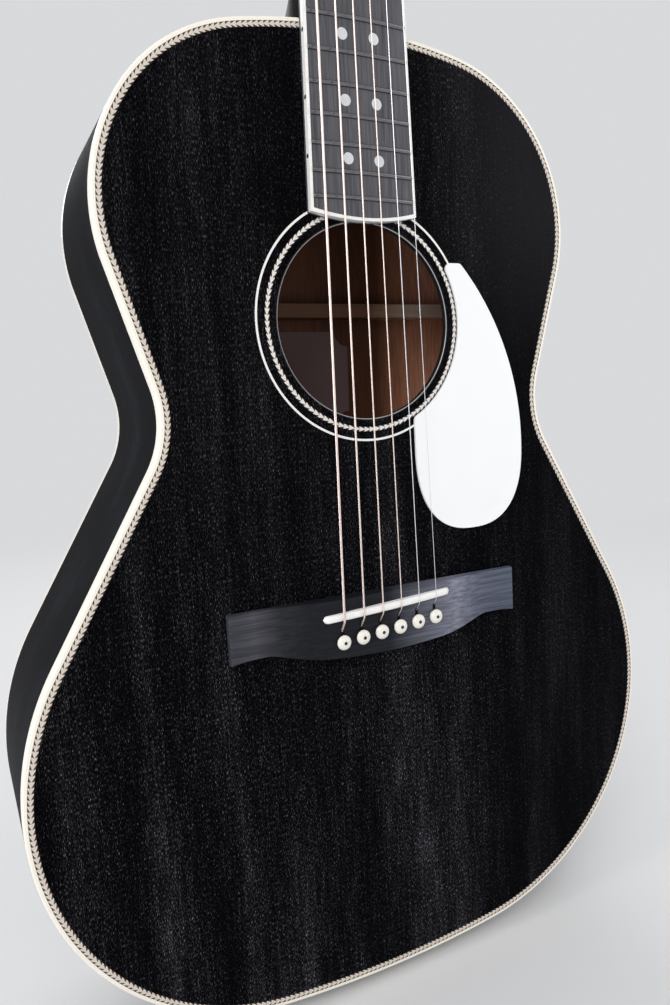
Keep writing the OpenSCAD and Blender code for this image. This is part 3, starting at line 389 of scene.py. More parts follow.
def build_handling_group():
    """Slight uneven sheen of a surface that is handled."""
    group, given, out = new_group("handling", ["Vector", "Amount", "Base"], ["Sheen", "Tone"])
    smears = noise(group, given["Vector"], *SMEARS)
    change = maths(group, "MULTIPLY", maths(group, "SUBTRACT", smears, 0.5), given["Amount"])
    group.links.new(maths(group, "ADD", given["Base"], change), out["Sheen"])
    group.links.new(smears, out["Tone"])
    return group


LAY_ALONG_X = (0.0, pi / 2, 0.0)
PORES = build_pore_group()
GRAIN = build_grain_group()
HERRINGBONE = build_herringbone_group()
HANDLING = build_handling_group()


# Finishes


def new_finish(name, rough, metallic=0.0, specular=0.5, coat=0.0):
    """An empty material with its shader, its tree and the object's own coordinates."""
    material = bpy.data.materials.new(name)
    material.use_nodes = True
    tree = material.node_tree
    shader = tree.nodes["Principled BSDF"]
    looks = {"Roughness": rough, "Metallic": metallic, "Specular IOR Level": specular, "Coat Weight": coat}
    for label, value in looks.items():
        shader.inputs[label].default_value = value
    where = tree.nodes.new("ShaderNodeTexCoord").outputs["Object"]
    return material, tree, shader, where


def laid(tree, where, turn):
    """Coordinates turned so that the grain runs along another axis."""
    mapping = tree.nodes.new("ShaderNodeMapping")
    mapping.inputs["Rotation"].default_value = turn
    tree.links.new(where, mapping.inputs["Vector"])
    return mapping.outputs["Vector"]


def axes_of(tree, where):
    """The X and Z of a place."""
    parts = tree.nodes.new("ShaderNodeSeparateXYZ")
    tree.links.new(where, parts.inputs["Vector"])
    return parts.outputs["X"], parts.outputs["Z"]


def use_group(tree, group, **values):
    node = tree.nodes.new("ShaderNodeGroup")
    node.node_tree = group
    for label, value in values.items():
        feed(tree, node.inputs[label], value)
    return node.outputs


def mix_colours(tree, share, a, b):
    """Colour a where share is 0, colour b where it is 1."""
    node = tree.nodes.new("ShaderNodeMix")
    node.data_type = "RGBA"
    tree.links.new(share, node.inputs["Factor"])
    for label, value in (("A", a), ("B", b)):
        feed(tree, [s for s in node.inputs if s.name == label and s.type == "RGBA"][0], value)
    return [s for s in node.outputs if s.type == "RGBA"][0]


def paint(tree, shader, colour):
    tree.links.new(colour, shader.inputs["Base Color"])


def raise_surface(tree, shader, height, distance, strength):
    bump = tree.nodes.new("ShaderNodeBump")
    bump.inputs["Distance"].default_value = distance
    bump.inputs["Strength"].default_value = strength
    tree.links.new(height, bump.inputs["Height"])
    tree.links.new(bump.outputs["Normal"], shader.inputs["Normal"])


# Metres between which the painted lighting on the stained top changes
TREBLE_RANGE, UPPER_RANGE, WAIST_RANGE = (0.03, 0.11), (0.3, 0.42), (0.17, 0.28)


def treble_side(tree, where):
    """Shares of the way to the treble side, up the upper bout and past the lower bout, for the painted
    lighting.
    """
    across, up = axes_of(tree, where)
    ranges = ((across, TREBLE_RANGE), (up, UPPER_RANGE), (up, WAIST_RANGE))
    return [steps_between(tree, value, *ends) for value, ends in ranges]


# Gain of the warm streaks; then painted lighting: how far the pores fade to the treble side and above the
# waist, and their gain on the lower bout
STREAK_GAIN, TREBLE_FADE, WAIST_FADE, LOWER_GAIN = 3.0, 0.65, 0.4, 1.1
# Depth and strength of a surface's relief
PORE_RELIEF, GRAIN_RELIEF = (0.00012, 0.6), (0.00004, 0.5)


def stained_wood(name, base=(0.0011, 0.0011, 0.0015), pale=(0.48, 0.47, 0.53), rough=0.5, specular=0.012,
                 painted_sheen=None):
    """Black-stained open-pore mahogany.

    With a sheen colour given, the pores fade towards the treble side and above the lower bout as painted
    lighting, and the upper treble part takes on that colour as a painted sheen.
    """
    material, tree, shader, where = new_finish(name, rough=rough, specular=specular)
    pores = use_group(tree, PORES, Vector=where)
    specks = pores["Pores"]
    warmer = tuple(STREAK_GAIN * c for c in base)
    stain_and_painted_sheen = mix_colours(tree, pores["Streaks"], base, warmer)
    if painted_sheen:
        # Painted lighting: the pores fade where light would not catch them, and a painted sheen covers the
        # upper treble bout
        across, up, waist = treble_side(tree, where)
        for share, fade, full in ((across, TREBLE_FADE, 1.0), (waist, WAIST_FADE, LOWER_GAIN)):
            specks = maths(tree, "MULTIPLY", specks, maths(tree, "MULTIPLY_ADD", share, -fade, full))
        stain_and_painted_sheen = mix_colours(tree, maths(tree, "MULTIPLY", across, up), stain_and_painted_sheen, painted_sheen)
    paint(tree, shader, mix_colours(tree, specks, stain_and_painted_sheen, pale))
    raise_surface(tree, shader, pores["Pores"], *PORE_RELIEF)
    return material


def bare_wood(name, pale, dark, turn=(0.0, 0.0, 0.0), rough=0.6, specular=0.3):
    """Unfinished or oiled straight-grained wood."""
    material, tree, shader, where = new_finish(name, rough=rough, specular=specular)
    grain = use_group(tree, GRAIN, Vector=laid(tree, where, turn))
    half = tuple((a + b) / 2 for a, b in zip(pale, dark))
    figure = mix_colours(tree, grain["Figure"], dark, half)
    paint(tree, shader, mix_colours(tree, grain["Grain"], figure, pale))
    raise_surface(tree, shader, grain["Grain"], *GRAIN_RELIEF)
    return material


SCRATCH_DARK = (0.003, 0.003, 0.004)


def painted_light_wood(name, painted_tones, turn=LAY_ALONG_X, rough=0.4, specular=0.3, streaky=0.5):
    """Straight-grained wood coloured along X by the tones given at places, which hold painted light and
    shade.
    """
    material, tree, shader, where = new_finish(name, rough=rough, specular=specular)
    grain = use_group(tree, GRAIN, Vector=laid(tree, where, turn))
    first, last = painted_tones[0][0] * MM, painted_tones[-1][0] * MM
    x, _ = axes_of(tree, where)
    along = maths(tree, "DIVIDE", maths(tree, "SUBTRACT", x, first), last - first)
    ramp = tree.nodes.new("ShaderNodeValToRGB")
    tree.links.new(along, ramp.inputs["Fac"])
    stops = ramp.color_ramp.elements
    stops.remove(stops[1])
    for place, colour in painted_tones[1:]:
        stops.new((place * MM - first) / (last - first)).color = (*colour, 1.0)
    stops[0].color = (*painted_tones[0][1], 1.0)
    stops[0].position = 0.0
    scratched = maths(tree, "MULTIPLY_ADD", grain["Grain"], streaky, 1.0 - streaky)
    paint(tree, shader, mix_colours(tree, scratched, SCRATCH_DARK, ramp.outputs["Color"]))
    raise_surface(tree, shader, grain["Grain"], *GRAIN_RELIEF)
    return material


def plain_finish(name, colour, rough, metallic=0.0, specular=0.5, coat=0.0, spread=0.12, tone=0.06):
    """Plastic, bone or metal with a slightly uneven sheen."""
    material, tree, shader, where = new_finish(name, rough, metallic, specular, coat)
    worn = use_group(tree, HANDLING, Vector=where, Amount=spread, Base=rough)
    darker = tuple(c * (1 - tone) for c in colour)
    paint(tree, shader, mix_colours(tree, worn["Tone"], darker, colour))
    tree.links.new(worn["Sheen"], shader.inputs["Roughness"])
    return material


HERRING_DARK = (0.03, 0.017, 0.012)


def herringbone_strip(name, pale, runs):
    """Marquetry strip; runs gives the way along and the share across it."""
    material, tree, shader, where = new_finish(name, rough=0.4, specular=0.4)
    along, across = runs(tree, where)
    chevrons = use_group(tree, HERRINGBONE, Along=along, Across=across)
    paint(tree, shader, mix_colours(tree, chevrons["Pale"], HERRING_DARK, pale))
    return material


def read_value(tree, name):
    node = tree.nodes.new("ShaderNodeAttribute")
    node.attribute_name = name
    return node.outputs["Fac"]


CHEVRON_RUN, RING_RUN = 2.7, 2.9
HOLE_Z, HOLE_R, EDGING_W, HERRING_R, HERRING_W = 350.0, 48.0, 0.9, 52.3, 2.4


def ring_runs(tree, where):
    """Chevrons round the sound hole, and the share across their ring."""
    x, z = [maths(tree, "MULTIPLY", axis, 1 / MM) for axis in axes_of(tree, where)]
    z = maths(tree, "SUBTRACT", z, HOLE_Z)
    squares = maths(tree, "ADD", maths(tree, "MULTIPLY", x, x), maths(tree, "MULTIPLY", z, z))
    off = maths(tree, "SUBTRACT", maths(tree, "SQRT", squares), HERRING_R)
    chevrons = round(tau * HERRING_R / RING_RUN)
    along = maths(tree, "MULTIPLY", maths(tree, "ARCTAN2", z, x), chevrons / tau)
    return along, maths(tree, "DIVIDE", off, HERRING_W)


def purfling_runs(tree, where):
    """Chevrons along the purfling, and the share across it."""
    off = maths(tree, "SUBTRACT", read_value(tree, "across"), RIM_T)
    along = maths(tree, "DIVIDE", read_value(tree, "along"), CHEVRON_RUN)
    return along, maths(tree, "DIVIDE", off, PURF_W)


WRAP_PITCH, WRAP_GAP, WRAP_RELIEF = 0.42, (0.3, 0.5), (-0.0001, 0.4)


def wound_wire(name, colour, dark):
    """Bronze wrap wire on a steel core, from the run along the string."""
    material, tree, shader, where = new_finish(name, rough=0.32, metallic=1.0)
    turns = maths(tree, "FRACT", maths(tree, "DIVIDE", read_value(tree, "along"), WRAP_PITCH))
    ridge = maths(tree, "ABSOLUTE", maths(tree, "SUBTRACT", turns, 0.5))
    paint(tree, shader, mix_colours(tree, steps_between(tree, ridge, *WRAP_GAP), colour, dark))
    raise_surface(tree, shader, ridge, *WRAP_RELIEF)
    return material


# The top's sheen colour is a painted sheen on the upper treble bout
BLACK_TOP = stained_wood("black_stained_top", painted_sheen=(0.012, 0.0115, 0.013))
BLACK_SIDE = stained_wood("black_stained_side", base=(0.0016, 0.0018, 0.0028), pale=(0.06, 0.062, 0.08))
BLACK_BACK = stained_wood("black_stained_back", base=(0.0018, 0.0019, 0.0025), pale=(0.12, 0.12, 0.135))
BLACK_NECK = stained_wood("black_stained_neck", base=(0.002, 0.002, 0.0025), pale=(0.06, 0.06, 0.068),
                          rough=0.4)
MAHOGANY = bare_wood("bare_mahogany", (0.32, 0.135, 0.078), (0.2, 0.08, 0.046))
SPRUCE = bare_wood("bare_spruce", (0.42, 0.235, 0.145), (0.32, 0.165, 0.098), LAY_ALONG_X)
ROSEWOOD = bare_wood("bridge_plate_rosewood", (0.15, 0.07, 0.04), (0.07, 0.03, 0.02), LAY_ALONG_X)
# Ebony's own dark grey in the middle, with a painted sheen on both ends of the bridge, brightest on the
# treble wing
BRIDGE_PAINTED_SHEEN = [(-86.0, (0.05, 0.052, 0.062)), (-72.0, (0.075, 0.075, 0.088)),
                (-58.0, (0.024, 0.025, 0.03)), (-45.0, (0.013, 0.014, 0.018)), (0.0, (0.016, 0.017, 0.022)),
                (44.0, (0.24, 0.25, 0.32)), (59.0, (0.125, 0.133, 0.182)), (78.0, (0.1, 0.117, 0.16))]
EBONY_BRIDGE = painted_light_wood("oiled_ebony_bridge", BRIDGE_PAINTED_SHEEN, specular=0.1)
# Painted light inside the body: the back is in painted shade over most of its width, with a painted pool of
# light on the treble side
INSIDE_PAINTED_LIGHT = [(-60.0, (0.17, 0.07, 0.036)), (10.0, (0.165, 0.066, 0.034)), (32.0, (0.11, 0.042, 0.021)),
                (58.0, (0.14, 0.054, 0.027)), (76.0, (0.62, 0.27, 0.15)), (94.0, (1.0, 0.48, 0.31))]
INNER_BACK = painted_light_wood("bare_mahogany_inside", INSIDE_PAINTED_LIGHT, (0.0, 0.0, 0.0), 0.6, 0.2, 0.35)
# Painted light on the back brace: in painted shade towards the bass side, with a painted pool of light on
# the treble side
BRACE_PAINTED_LIGHT = [(-150.0, (0.17, 0.088, 0.05)), (45.0, (0.2, 0.1, 0.058)), (62.0, (0.6, 0.38, 0.25)),
               (78.0, (1.0, 0.8, 0.62)), (150.0, (0.6, 0.45, 0.33))]
BACK_BRACE = painted_light_wood("bare_spruce_brace", BRACE_PAINTED_LIGHT, rough=0.6, specular=0.2, streaky=0.2)
# Painted shade for the string slots at the pins, as a near-black wood
SLOT_SHADE = bare_wood("painted_slot_shade", (0.006, 0.006, 0.007), (0.002, 0.002, 0.003), LAY_ALONG_X, 0.8, 0.05)
EBONY_BOARD = bare_wood("oiled_ebony_board", (0.11, 0.109, 0.122), (0.045, 0.044, 0.051),
                        rough=0.45, specular=0.2)
CREAM = plain_finish("cream_binding", (0.88, 0.825, 0.73), 0.25, coat=0.3)
WHITE = plain_finish("white_edging", (0.87, 0.86, 0.83), 0.25, coat=0.2)
GUARD_WHITE = plain_finish("pickguard_white", (0.9, 0.91, 0.91), 0.3, coat=0.2, spread=0.06, tone=0.02)
IVORY = plain_finish("ivory_plastic", (0.82, 0.79, 0.72), 0.22, coat=0.3)
BONE = plain_finish("polished_bone", (0.88, 0.87, 0.84), 0.3)
BLACK_PLASTIC = plain_finish("black_plastic", (0.012, 0.012, 0.014), 0.35)
# Painted highlight along the crest of the black sound-hole edging
LIP_HIGHLIGHT = plain_finish("painted_highlight_crest", (0.42, 0.41, 0.41), 0.16, coat=0.6)
# Fret metal darker than nickel's own: a painted dark reflection of the surroundings
FRET_WIRE = plain_finish("fret_wire", (0.2, 0.2, 0.205), 0.22, metallic=1.0)
PEARL = plain_finish("pearl", (0.75, 0.77, 0.8), 0.2, coat=0.5, tone=0.25)
# Label paper's own brown tone, darkened further as painted shade of the body's inside
PAPER_IN_PAINTED_SHADE = plain_finish("label_paper", (0.2, 0.135, 0.13), 0.85, specular=0.2)
NICKEL = plain_finish("polished_nickel", (0.66, 0.64, 0.61), 0.2, metallic=1.0)
STEEL = plain_finish("plain_steel", (0.5, 0.5, 0.51), 0.35, metallic=1.0)
BRASS = plain_finish("plain_brass", (0.62, 0.45, 0.2), 0.32, metallic=1.0)
PLAIN_WIRE = plain_finish("plain_string_wire", (0.88, 0.88, 0.9), 0.3, metallic=1.0)
BRONZE_WIRE = wound_wire("bronze_wound_wire", (0.95, 0.8, 0.74), (0.52, 0.36, 0.31))
PURFLING = herringbone_strip("herringbone_purfling", (0.62, 0.55, 0.47), purfling_runs)
ROSETTE = herringbone_strip("herringbone_rosette", (0.74, 0.7, 0.66), ring_runs)

WORN_BY = [
    (BLACK_TOP, "soundboard"),
    (BLACK_SIDE, "bass_rib", "treble_rib"),
    (BLACK_BACK, "back_plate", "head_veneer"),
    (BLACK_NECK, "neck"),
    (MAHOGANY, "neck_block", "tail_block"),
    (SPRUCE, "top_linings", "back_linings", "top_braces"),
    (BACK_BRACE, "back_braces"),
    (ROSEWOOD, "bridge_plate"),
    (EBONY_BRIDGE, "bridge"),
    (EBONY_BOARD, "fingerboard"),
    (PAPER_IN_PAINTED_SHADE, "paper_label"),
    (CREAM, "top_binding", "back_binding", "heel_cap"),
    (WHITE, "rosette_rings", "fingerboard_binding"),
    (GUARD_WHITE, "pickguard"),
    (IVORY, "bridge_pins", "end_pin"),
    (BONE, "saddle", "nut"),
    (BLACK_PLASTIC, "hole_edging", "side_dots", "truss_rod_cover"),
    (PURFLING, "top_purfling"),
    (ROSETTE, "rosette_herringbone"),
    (PEARL, "position_markers"),
    (FRET_WIRE, "frets"),
    (NICKEL, "headstock_screws", "tuner_plates", "tuner_bushings"),
    (STEEL, "truss_rod"),
    (BRASS, "truss_rod_nut", "ball_ends"),
    (BRONZE_WIRE, "strings"),
]
CARRIED = {node: material for material, *worn in WORN_BY for node in worn}
for number in range(1, 7):
    CARRIED["string_post_%d" % number] = NICKEL
    CARRIED["worm_shaft_%d" % number] = NICKEL
    CARRIED["tuner_button_%d" % number] = IVORY
for node_name, finish in CARRIED.items():
    data = NODES[node_name].data
    data.materials.clear()
    data.materials.append(finish)


# Rim of the body


def off_back(up):
    """Depth that follows the domed back at a distance in from it."""
    return lambda x, z: back_depth(x, z, up)


def bass_half(inset):
    return [Vector((-p.x, p.y)) for p in half_outline(inset)]


def build_rim():
    """Bindings, herringbone and bent sides round the body."""
    front = [(RIM_T, 0.0), (0.9, 0.0), (0.4, 0.1), (0.12, 0.36), (0.0, 0.85), (0.0, BIND_H), (RIM_T, BIND_H)]
    rim_sweep("top_edge_binding", front, whole_outline, True, [CREAM], slot="cream_plastic",
              nodes=["top_binding"])
    inner = RIM_T + PURF_W
    inlay = [(RIM_T, 0.0), (inner, 0.0), (inner, INLAY_T), (RIM_T, INLAY_T)]
    rim_sweep("herringbone_edge", inlay, whole_outline, True, [PURFLING], slot="herringbone_wood",
              nodes=["top_purfling"])
    low, back = off_back(BACK_BIND_H), off_back(0.0)
    rear = [(0.0, low), (0.0, off_back(0.7)), (0.2, off_back(0.2)), (0.7, back), (RIM_T, back),
            (RIM_T, low)]
    rim_sweep("back_edge_binding", rear, whole_outline, True, [CREAM], slot="cream_plastic",
              nodes=["back_binding"])
    bent = [(0.0, BIND_H), (0.0, low), (RIM_T, low), (RIM_T, BIND_H)]
    for label, outline_of in (("treble", half_outline), ("bass", bass_half)):
        rim_sweep(label + "_side", bent, outline_of, False, [BLACK_SIDE, MAHOGANY], [0, 1, 1, 1],
                  slot="black_stained_wood", nodes=[label + "_rib"])


def build_back():
    """Domed back as shrinking copies of its outline round a middle point, outside and inside."""
    edge = whole_outline(RIM_T)[:-1]
    middle = Vector((0.0, BODY_L / 2))
    shares = [1.0, 0.85, 0.7, 0.55, 0.4, 0.25, 0.1]
    rings = []
    for up, order in ((BACK_T, reversed(shares)), (0.0, shares)):
        for share in order:
            places = [middle + (p - middle) * share for p in edge]
            rings.append([point(q.x, back_depth(q.x, q.y, up), q.y) for q in places])
    verts, faces = loft(rings)
    inside = len(edge) * (len(shares) - 1)
    slots = [1] * inside + [0] * (len(faces) - inside - 2) + [1, 0]
    add_piece("domed_back", (verts, faces), [BLACK_BACK, INNER_BACK], slot="black_stained_wood",
              nodes=["back_plate"], face_slots=slots)


def build_hole_lip():
    """Round-shouldered black edging of the sound hole, with a painted highlight along its crest."""
    soft, bends, steps, highlight_strips = 0.6, 5, 120, (2, 3)
    shape = [(HOLE_R + EDGING_W, 0.0)]
    for k in range(bends + 1):
        a = pi / 2 * k / bends
        shape.append((HOLE_R + soft - soft * sin(a), soft - soft * cos(a)))
    shape += [(HOLE_R, TOP_T), (HOLE_R + EDGING_W, TOP_T)]
    verts = []
    for c, s in circle(steps):
        verts += [point(r * c, depth, HOLE_Z + r * s) for r, depth in shape]
    faces = loft_faces(steps, len(shape), closed=True)
    crest = [int(k % len(shape) in highlight_strips) for k in range(len(faces))]
    add_piece("hole_lip", (verts, faces), [BLACK_PLASTIC, LIP_HIGHLIGHT], slot="black_plastic",
              nodes=["hole_edging"], face_slots=crest)


# Bridge and what sits on it

BRIDGE_L, WING_W, WING_T, BRIDGE_T, BELLY, BRIDGE_Z = 169.0, 23.4, 3.8, 8.6, 8.0, 213.56
HIGH_HALF, MIDDLE_HALF, FLANK_HALF, TIP_HALF, TIP_DIP, BELLY_BOW = 30.0, 40.0, 66.0, 70.0, 1.2, 0.3
WING_Z = BRIDGE_Z - WING_W
BRIDGE_END, BRIDGE_STEPS = 1.0, 120
SADDLE_L, SADDLE_T, SADDLE_SLANT = 75.0, 3.4, radians(3.0)
SADDLE_Z = BRIDGE_Z - 7.2
SADDLE_TOP, SADDLE_CROWN_R = BRIDGE_T + 3.4, 400.0
SADDLE_SUNK, SADDLE_SPARE, SADDLE_END, SADDLE_FALL, CREST_H = 4.5, 0.2, 3.0, 5.0, 1.1
SADDLE_STEPS = 40
PIN_Z, PIN_SLANT = SADDLE_Z - 12.4, radians(4.2)
PIN_HEAD_R, PIN_BALL_UP, PIN_BALL_H = 3.8, 1.7, 1.9
UNDER_T, BALL_R, PIN_HOLE_R, BALL_TURN, BALL_STOP = 2.5, 2.0, 2.6, 0.6, 0.8
# Outline and lift of the sheet of painted shade above each pin
NOTCH_SIDE, NOTCH_TIP, NOTCH_LIFT = PIN_HOLE_R + 3.6, PIN_HOLE_R + 4.4, 0.03
SADDLE_PITCH = 11.0
STRING_D = [1.35, 1.07, 0.81, 0.61, 0.42, 0.32]
STRING_COUNT, WOUND_COUNT, STRING_SIDES = len(STRING_D), 4, 12
STRING_GAP = 0.06
GROOVE_W = max(STRING_D) + 6 * STRING_GAP
IN_PIN = PIN_HOLE_R - GROOVE_W + max(STRING_D) / 2 + STRING_GAP
STRING_DIVE = 5.5


def flank(x):
    return ease((abs(x) - MIDDLE_HALF) / (FLANK_HALF - MIDDLE_HALF))


def belly_edge(x):
    near = 1 - flank(x)
    dip = TIP_DIP * (max(0.0, abs(x) - TIP_HALF) / (BRIDGE_L / 2 - TIP_HALF)) ** 2
    return WING_Z - dip - BELLY * near * (1 - BELLY_BOW * (x / MIDDLE_HALF) ** 2 * near)


def bridge_height(x):
    return WING_T + (BRIDGE_T - WING_T) * (1 - ease((abs(x) - HIGH_HALF) / (FLANK_HALF - HIGH_HALF)))


def build_bridge():
    """Sections across the bridge, each with softened upper edges, and a thin sheet of painted shade laid
    just above the top over every pin, where the string's slot would lie in shade.
    """
    soft, end_cut, edge_cut = 0.7, 0.25, 0.2
    tip, run = BRIDGE_L / 2, BRIDGE_L - 2 * BRIDGE_END
    ends = [(-tip, soft), (-tip + end_cut, end_cut), (-tip + soft, 0.0)]
    inner = [(-tip + BRIDGE_END + run * k / BRIDGE_STEPS, 0.0) for k in range(1, BRIDGE_STEPS)]
    stations = ends + inner + [(-x, drop) for x, drop in reversed(ends)]
    sections = []
    for x, drop in stations:
        low, high, top = belly_edge(x), BRIDGE_Z, bridge_height(x) - drop
        shape = [(low, 0.0), (low, top - soft), (low + edge_cut, top - edge_cut), (low + soft, top),
                 (high - soft, top), (high - edge_cut, top - edge_cut), (high, top - soft), (high, 0.0)]
        sections.append([point(x, -h, z) for z, h in shape])
    verts, faces = loft(sections)
    slots = [0] * len(faces) + [1] * STRING_COUNT
    # One sheet of painted shade just above the bridge top at each pin
    half, lift = GROOVE_W / 2, BRIDGE_T + NOTCH_LIFT
    shade_sheet = [(-half, 0.0), (half, 0.0), (half, NOTCH_SIDE), (0.0, NOTCH_TIP), (-half, NOTCH_SIDE)]
    for i in range(STRING_COUNT):
        x, z = pin_place(i)
        faces.append([len(verts) + k for k in range(len(shade_sheet))])
        verts += [point(x + dx, -lift, z + dz) for dx, dz in shade_sheet]
    add_piece("bridge_body", (verts, faces), [EBONY_BRIDGE, SLOT_SHADE], slot="grey_ebony",
              nodes=["bridge"], sharp=50.0, face_slots=slots)


def on_saddle(x, depth, across):
    """A place given along and across the slanted saddle."""
    c, s = cos(SADDLE_SLANT), sin(SADDLE_SLANT)
    return point(x * c - across * s, depth, SADDLE_Z + x * s + across * c)


def build_saddle():
    """Bone strip with a round crown and rounded ends."""
    sections = []
    seat = BRIDGE_T - SADDLE_SUNK
    half_t = SADDLE_T / 2 + SADDLE_SPARE
    for k in range(-SADDLE_STEPS, SADDLE_STEPS + 1):
        x = SADDLE_L / 2 * k / SADDLE_STEPS
        into = SADDLE_L / 2 - abs(x)
        width = half_t if into > half_t else sqrt(max(0.05, half_t ** 2 - (half_t - into) ** 2))
        drop = max(0.0, SADDLE_END - into)
        top = SADDLE_TOP - x * x / (2 * SADDLE_CROWN_R) - drop * drop / SADDLE_FALL
        ring = [on_saddle(x, -seat, -width)]
        for a in range(0, 181, 20):
            t = radians(a)
            ring.append(on_saddle(x, -(top - CREST_H + CREST_H * sin(t)), -width * cos(t)))
        ring.append(on_saddle(x, -seat, width))
        sections.append(ring)
    add_piece("saddle_strip", loft(sections), [BONE], slot="bone", nodes=["saddle"], sharp=60.0)


def from_middle(i):
    """How many places a string lies from the middle of the row."""
    return i - (STRING_COUNT - 1) / 2


def saddle_x(i):
    return from_middle(i) * SADDLE_PITCH


def pin_place(i):
    return saddle_x(i), PIN_Z + saddle_x(i) * tan(PIN_SLANT)


def build_pins():
    """Six pins: a tapered shank, a ball head and a dark dot let into its top."""
    parts, slots = [], []
    towards, up = Vector((0.0, -1.0, 0.0)), Vector((0.0, 0.0, 1.0))
    dot_r, dot_sunk, dot_proud = 0.9, 0.4, 0.05
    for i in range(STRING_COUNT):
        x, z = pin_place(i)
        seat = point(x, -BRIDGE_T, z)
        head = [(-15.0, 1.9), (-0.2, 2.45), (0.0, 2.5), (0.1, 3.0)]
        for a in range(-40, 71, 10):
            t = radians(a)
            head.append((PIN_BALL_UP + PIN_BALL_H * sin(t), PIN_HEAD_R * cos(t)))
        parts.append(lathe(head, seat, towards, up, 28))
        slots += [0] * len(parts[-1][1])
        crown = head[-1][0]
        dot = [(crown - dot_sunk, dot_r), (crown + dot_proud, dot_r)]
        parts.append(lathe(dot, seat, towards, up, 20))
        slots += [1] * len(parts[-1][1])
    add_piece("bridge_pin_set", join_parts(parts), [IVORY, BLACK_PLASTIC], slot="ivory_plastic",
              nodes=["bridge_pins"], face_slots=slots)


# Strings and tuning machines

SCALE_L, JOINT_FRET, NUT_W, NUT_T, NUT_MARGIN, NUT_ACTION = 628.0, 14, 43.0, 5.0, 3.5, 1.6
BOARD_T, BOARD_R = 5.8, 300.0
NUT_Z = BODY_L + SCALE_L * (1 - 2 ** (-JOINT_FRET / 12))
HEAD_Z, HEAD_TILT = NUT_Z + NUT_T, radians(13.0)
HEAD_T, VENEER_T, HEAD_W = 14.5, 1.5, 73.0
POST_X, POST_Z = 22.0, [50.0, 91.0, 132.0, 132.0, 91.0, 50.0]
SIDE = [-1, -1, -1, 1, 1, 1]
POST_R, POST_RISE = 3.0, 14.0
HUB_R, HUB_GAP = POST_R + 1.2, 0.16
GEAR_TEETH, GEAR_R, GEAR_T, WORM_R = 14, 4.9, 3.4, 2.7
PLATE_T = 1.2
TOOTH_OUT, TOOTH_IN, TOOTH_FOOT, TOOTH_TIP = 0.6, 0.9, 0.13, 0.056
GEAR_MID = PLATE_T + WORM_R + TOOTH_OUT + 0.5
WORM_OFF = GEAR_R + WORM_R
WORM_PITCH = tau * GEAR_R / GEAR_TEETH
WORM_TURNS, WORM_STEPS, WORM_SIDES, WORM_FLANK = 4, 24, 28, 45
TURNS, WIND_STEPS, WIND_RUN = [3, 3, 3, 4, 4, 4], 30, 0.4
SHAFT_R, BUTTON_GAP, BUTTON_NECK, BUTTON_START = 1.5, 4.0, 2.2, 0.16
BUTTON_ROUND, BUTTON_THIN, BUTTON_LEAST = 0.62, 0.9, 0.02
BUTTON_L, BUTTON_HALF_W, BUTTON_HALF_T, BUTTON_STEPS, BUTTON_SIDES = 10.8, 8.5, 4.0, 14, 36
WIND_FROM, WIND_LIFT, WIND_GAP, TURN_CLEAR, LEAD_SHARE = radians(54.0), 2.6, 0.46, 0.4, 0.65


def on_head(x, depth, up):
    """A place on the tilted headstock, from behind the nut."""
    c, s = cos(HEAD_TILT), sin(HEAD_TILT)
    return point(x, depth * c + up * s, HEAD_Z - depth * s + up * c)


def at_tuner(i, out, depth, up):
    """A place at one tuning machine; out runs from its post to the headstock's edge."""
    return on_head(SIDE[i] * (POST_X + out), depth, POST_Z[i] + up)


def nut_x(i):
    return from_middle(i) * (NUT_W - 2 * NUT_MARGIN) / (STRING_COUNT - 1)


def wind_r(i):
    return POST_R + STRING_D[i] / 2 + STRING_GAP


def wind_depth(i, a):
    """Depth of the winding at an angle; the first turn climbs more, to clear the straight string."""
    turns = (a - WIND_FROM) / tau
    return -VENEER_T - WIND_LIFT - (STRING_D[i] + WIND_GAP) * turns - TURN_CLEAR * ease(2 * turns)


def string_path(i):
    """Straight runs of one string from its post over nut and saddle, then down its pin to the ball."""
    d = STRING_D[i]
    x, z = pin_place(i)
    sx = saddle_x(i)
    nut_h = BOARD_T - nut_x(i) ** 2 / (2 * BOARD_R) + NUT_ACTION
    rest = SADDLE_TOP - sx ** 2 / (2 * SADDLE_CROWN_R) + d / 2 + STRING_GAP
    crossing = SADDLE_Z + sx * tan(SADDLE_SLANT)
    under = TOP_T + UNDER_T
    off = PIN_HOLE_R + BALL_R + 2 * STRING_GAP
    return [
        at_tuner(i, -wind_r(i), wind_depth(i, WIND_FROM), 0.0),
        point(nut_x(i), -nut_h - d / 2, NUT_Z + NUT_T),
        point(sx, -rest, crossing),
        point(sx, -rest, crossing - SADDLE_T / 2 - 4 * STRING_GAP),
        point(x, -STRING_DIVE, z + IN_PIN),
        point(x, under + BALL_R * BALL_TURN, z + IN_PIN),
        point(x, under + BALL_R * BALL_STOP, z + off - BALL_R - STRING_GAP),
    ]


def softened(path, reach=1.2, most=0.4, steps=4):
    """A path whose corners are cut into short bends, each within a share of its runs."""
    out = [path[0]]
    for a, b, c in zip(path, path[1:], path[2:]):
        before = min(reach * MM, (b - a).length * most)
        after = min(reach * MM, (c - b).length * most)
        p = b + (a - b).normalized() * before
        q = b + (c - b).normalized() * after
        for k in range(steps + 1):
            t = k / steps
            out.append(p * (1 - t) ** 2 + b * 2 * t * (1 - t) + q * t ** 2)
    return out + [path[-1]]


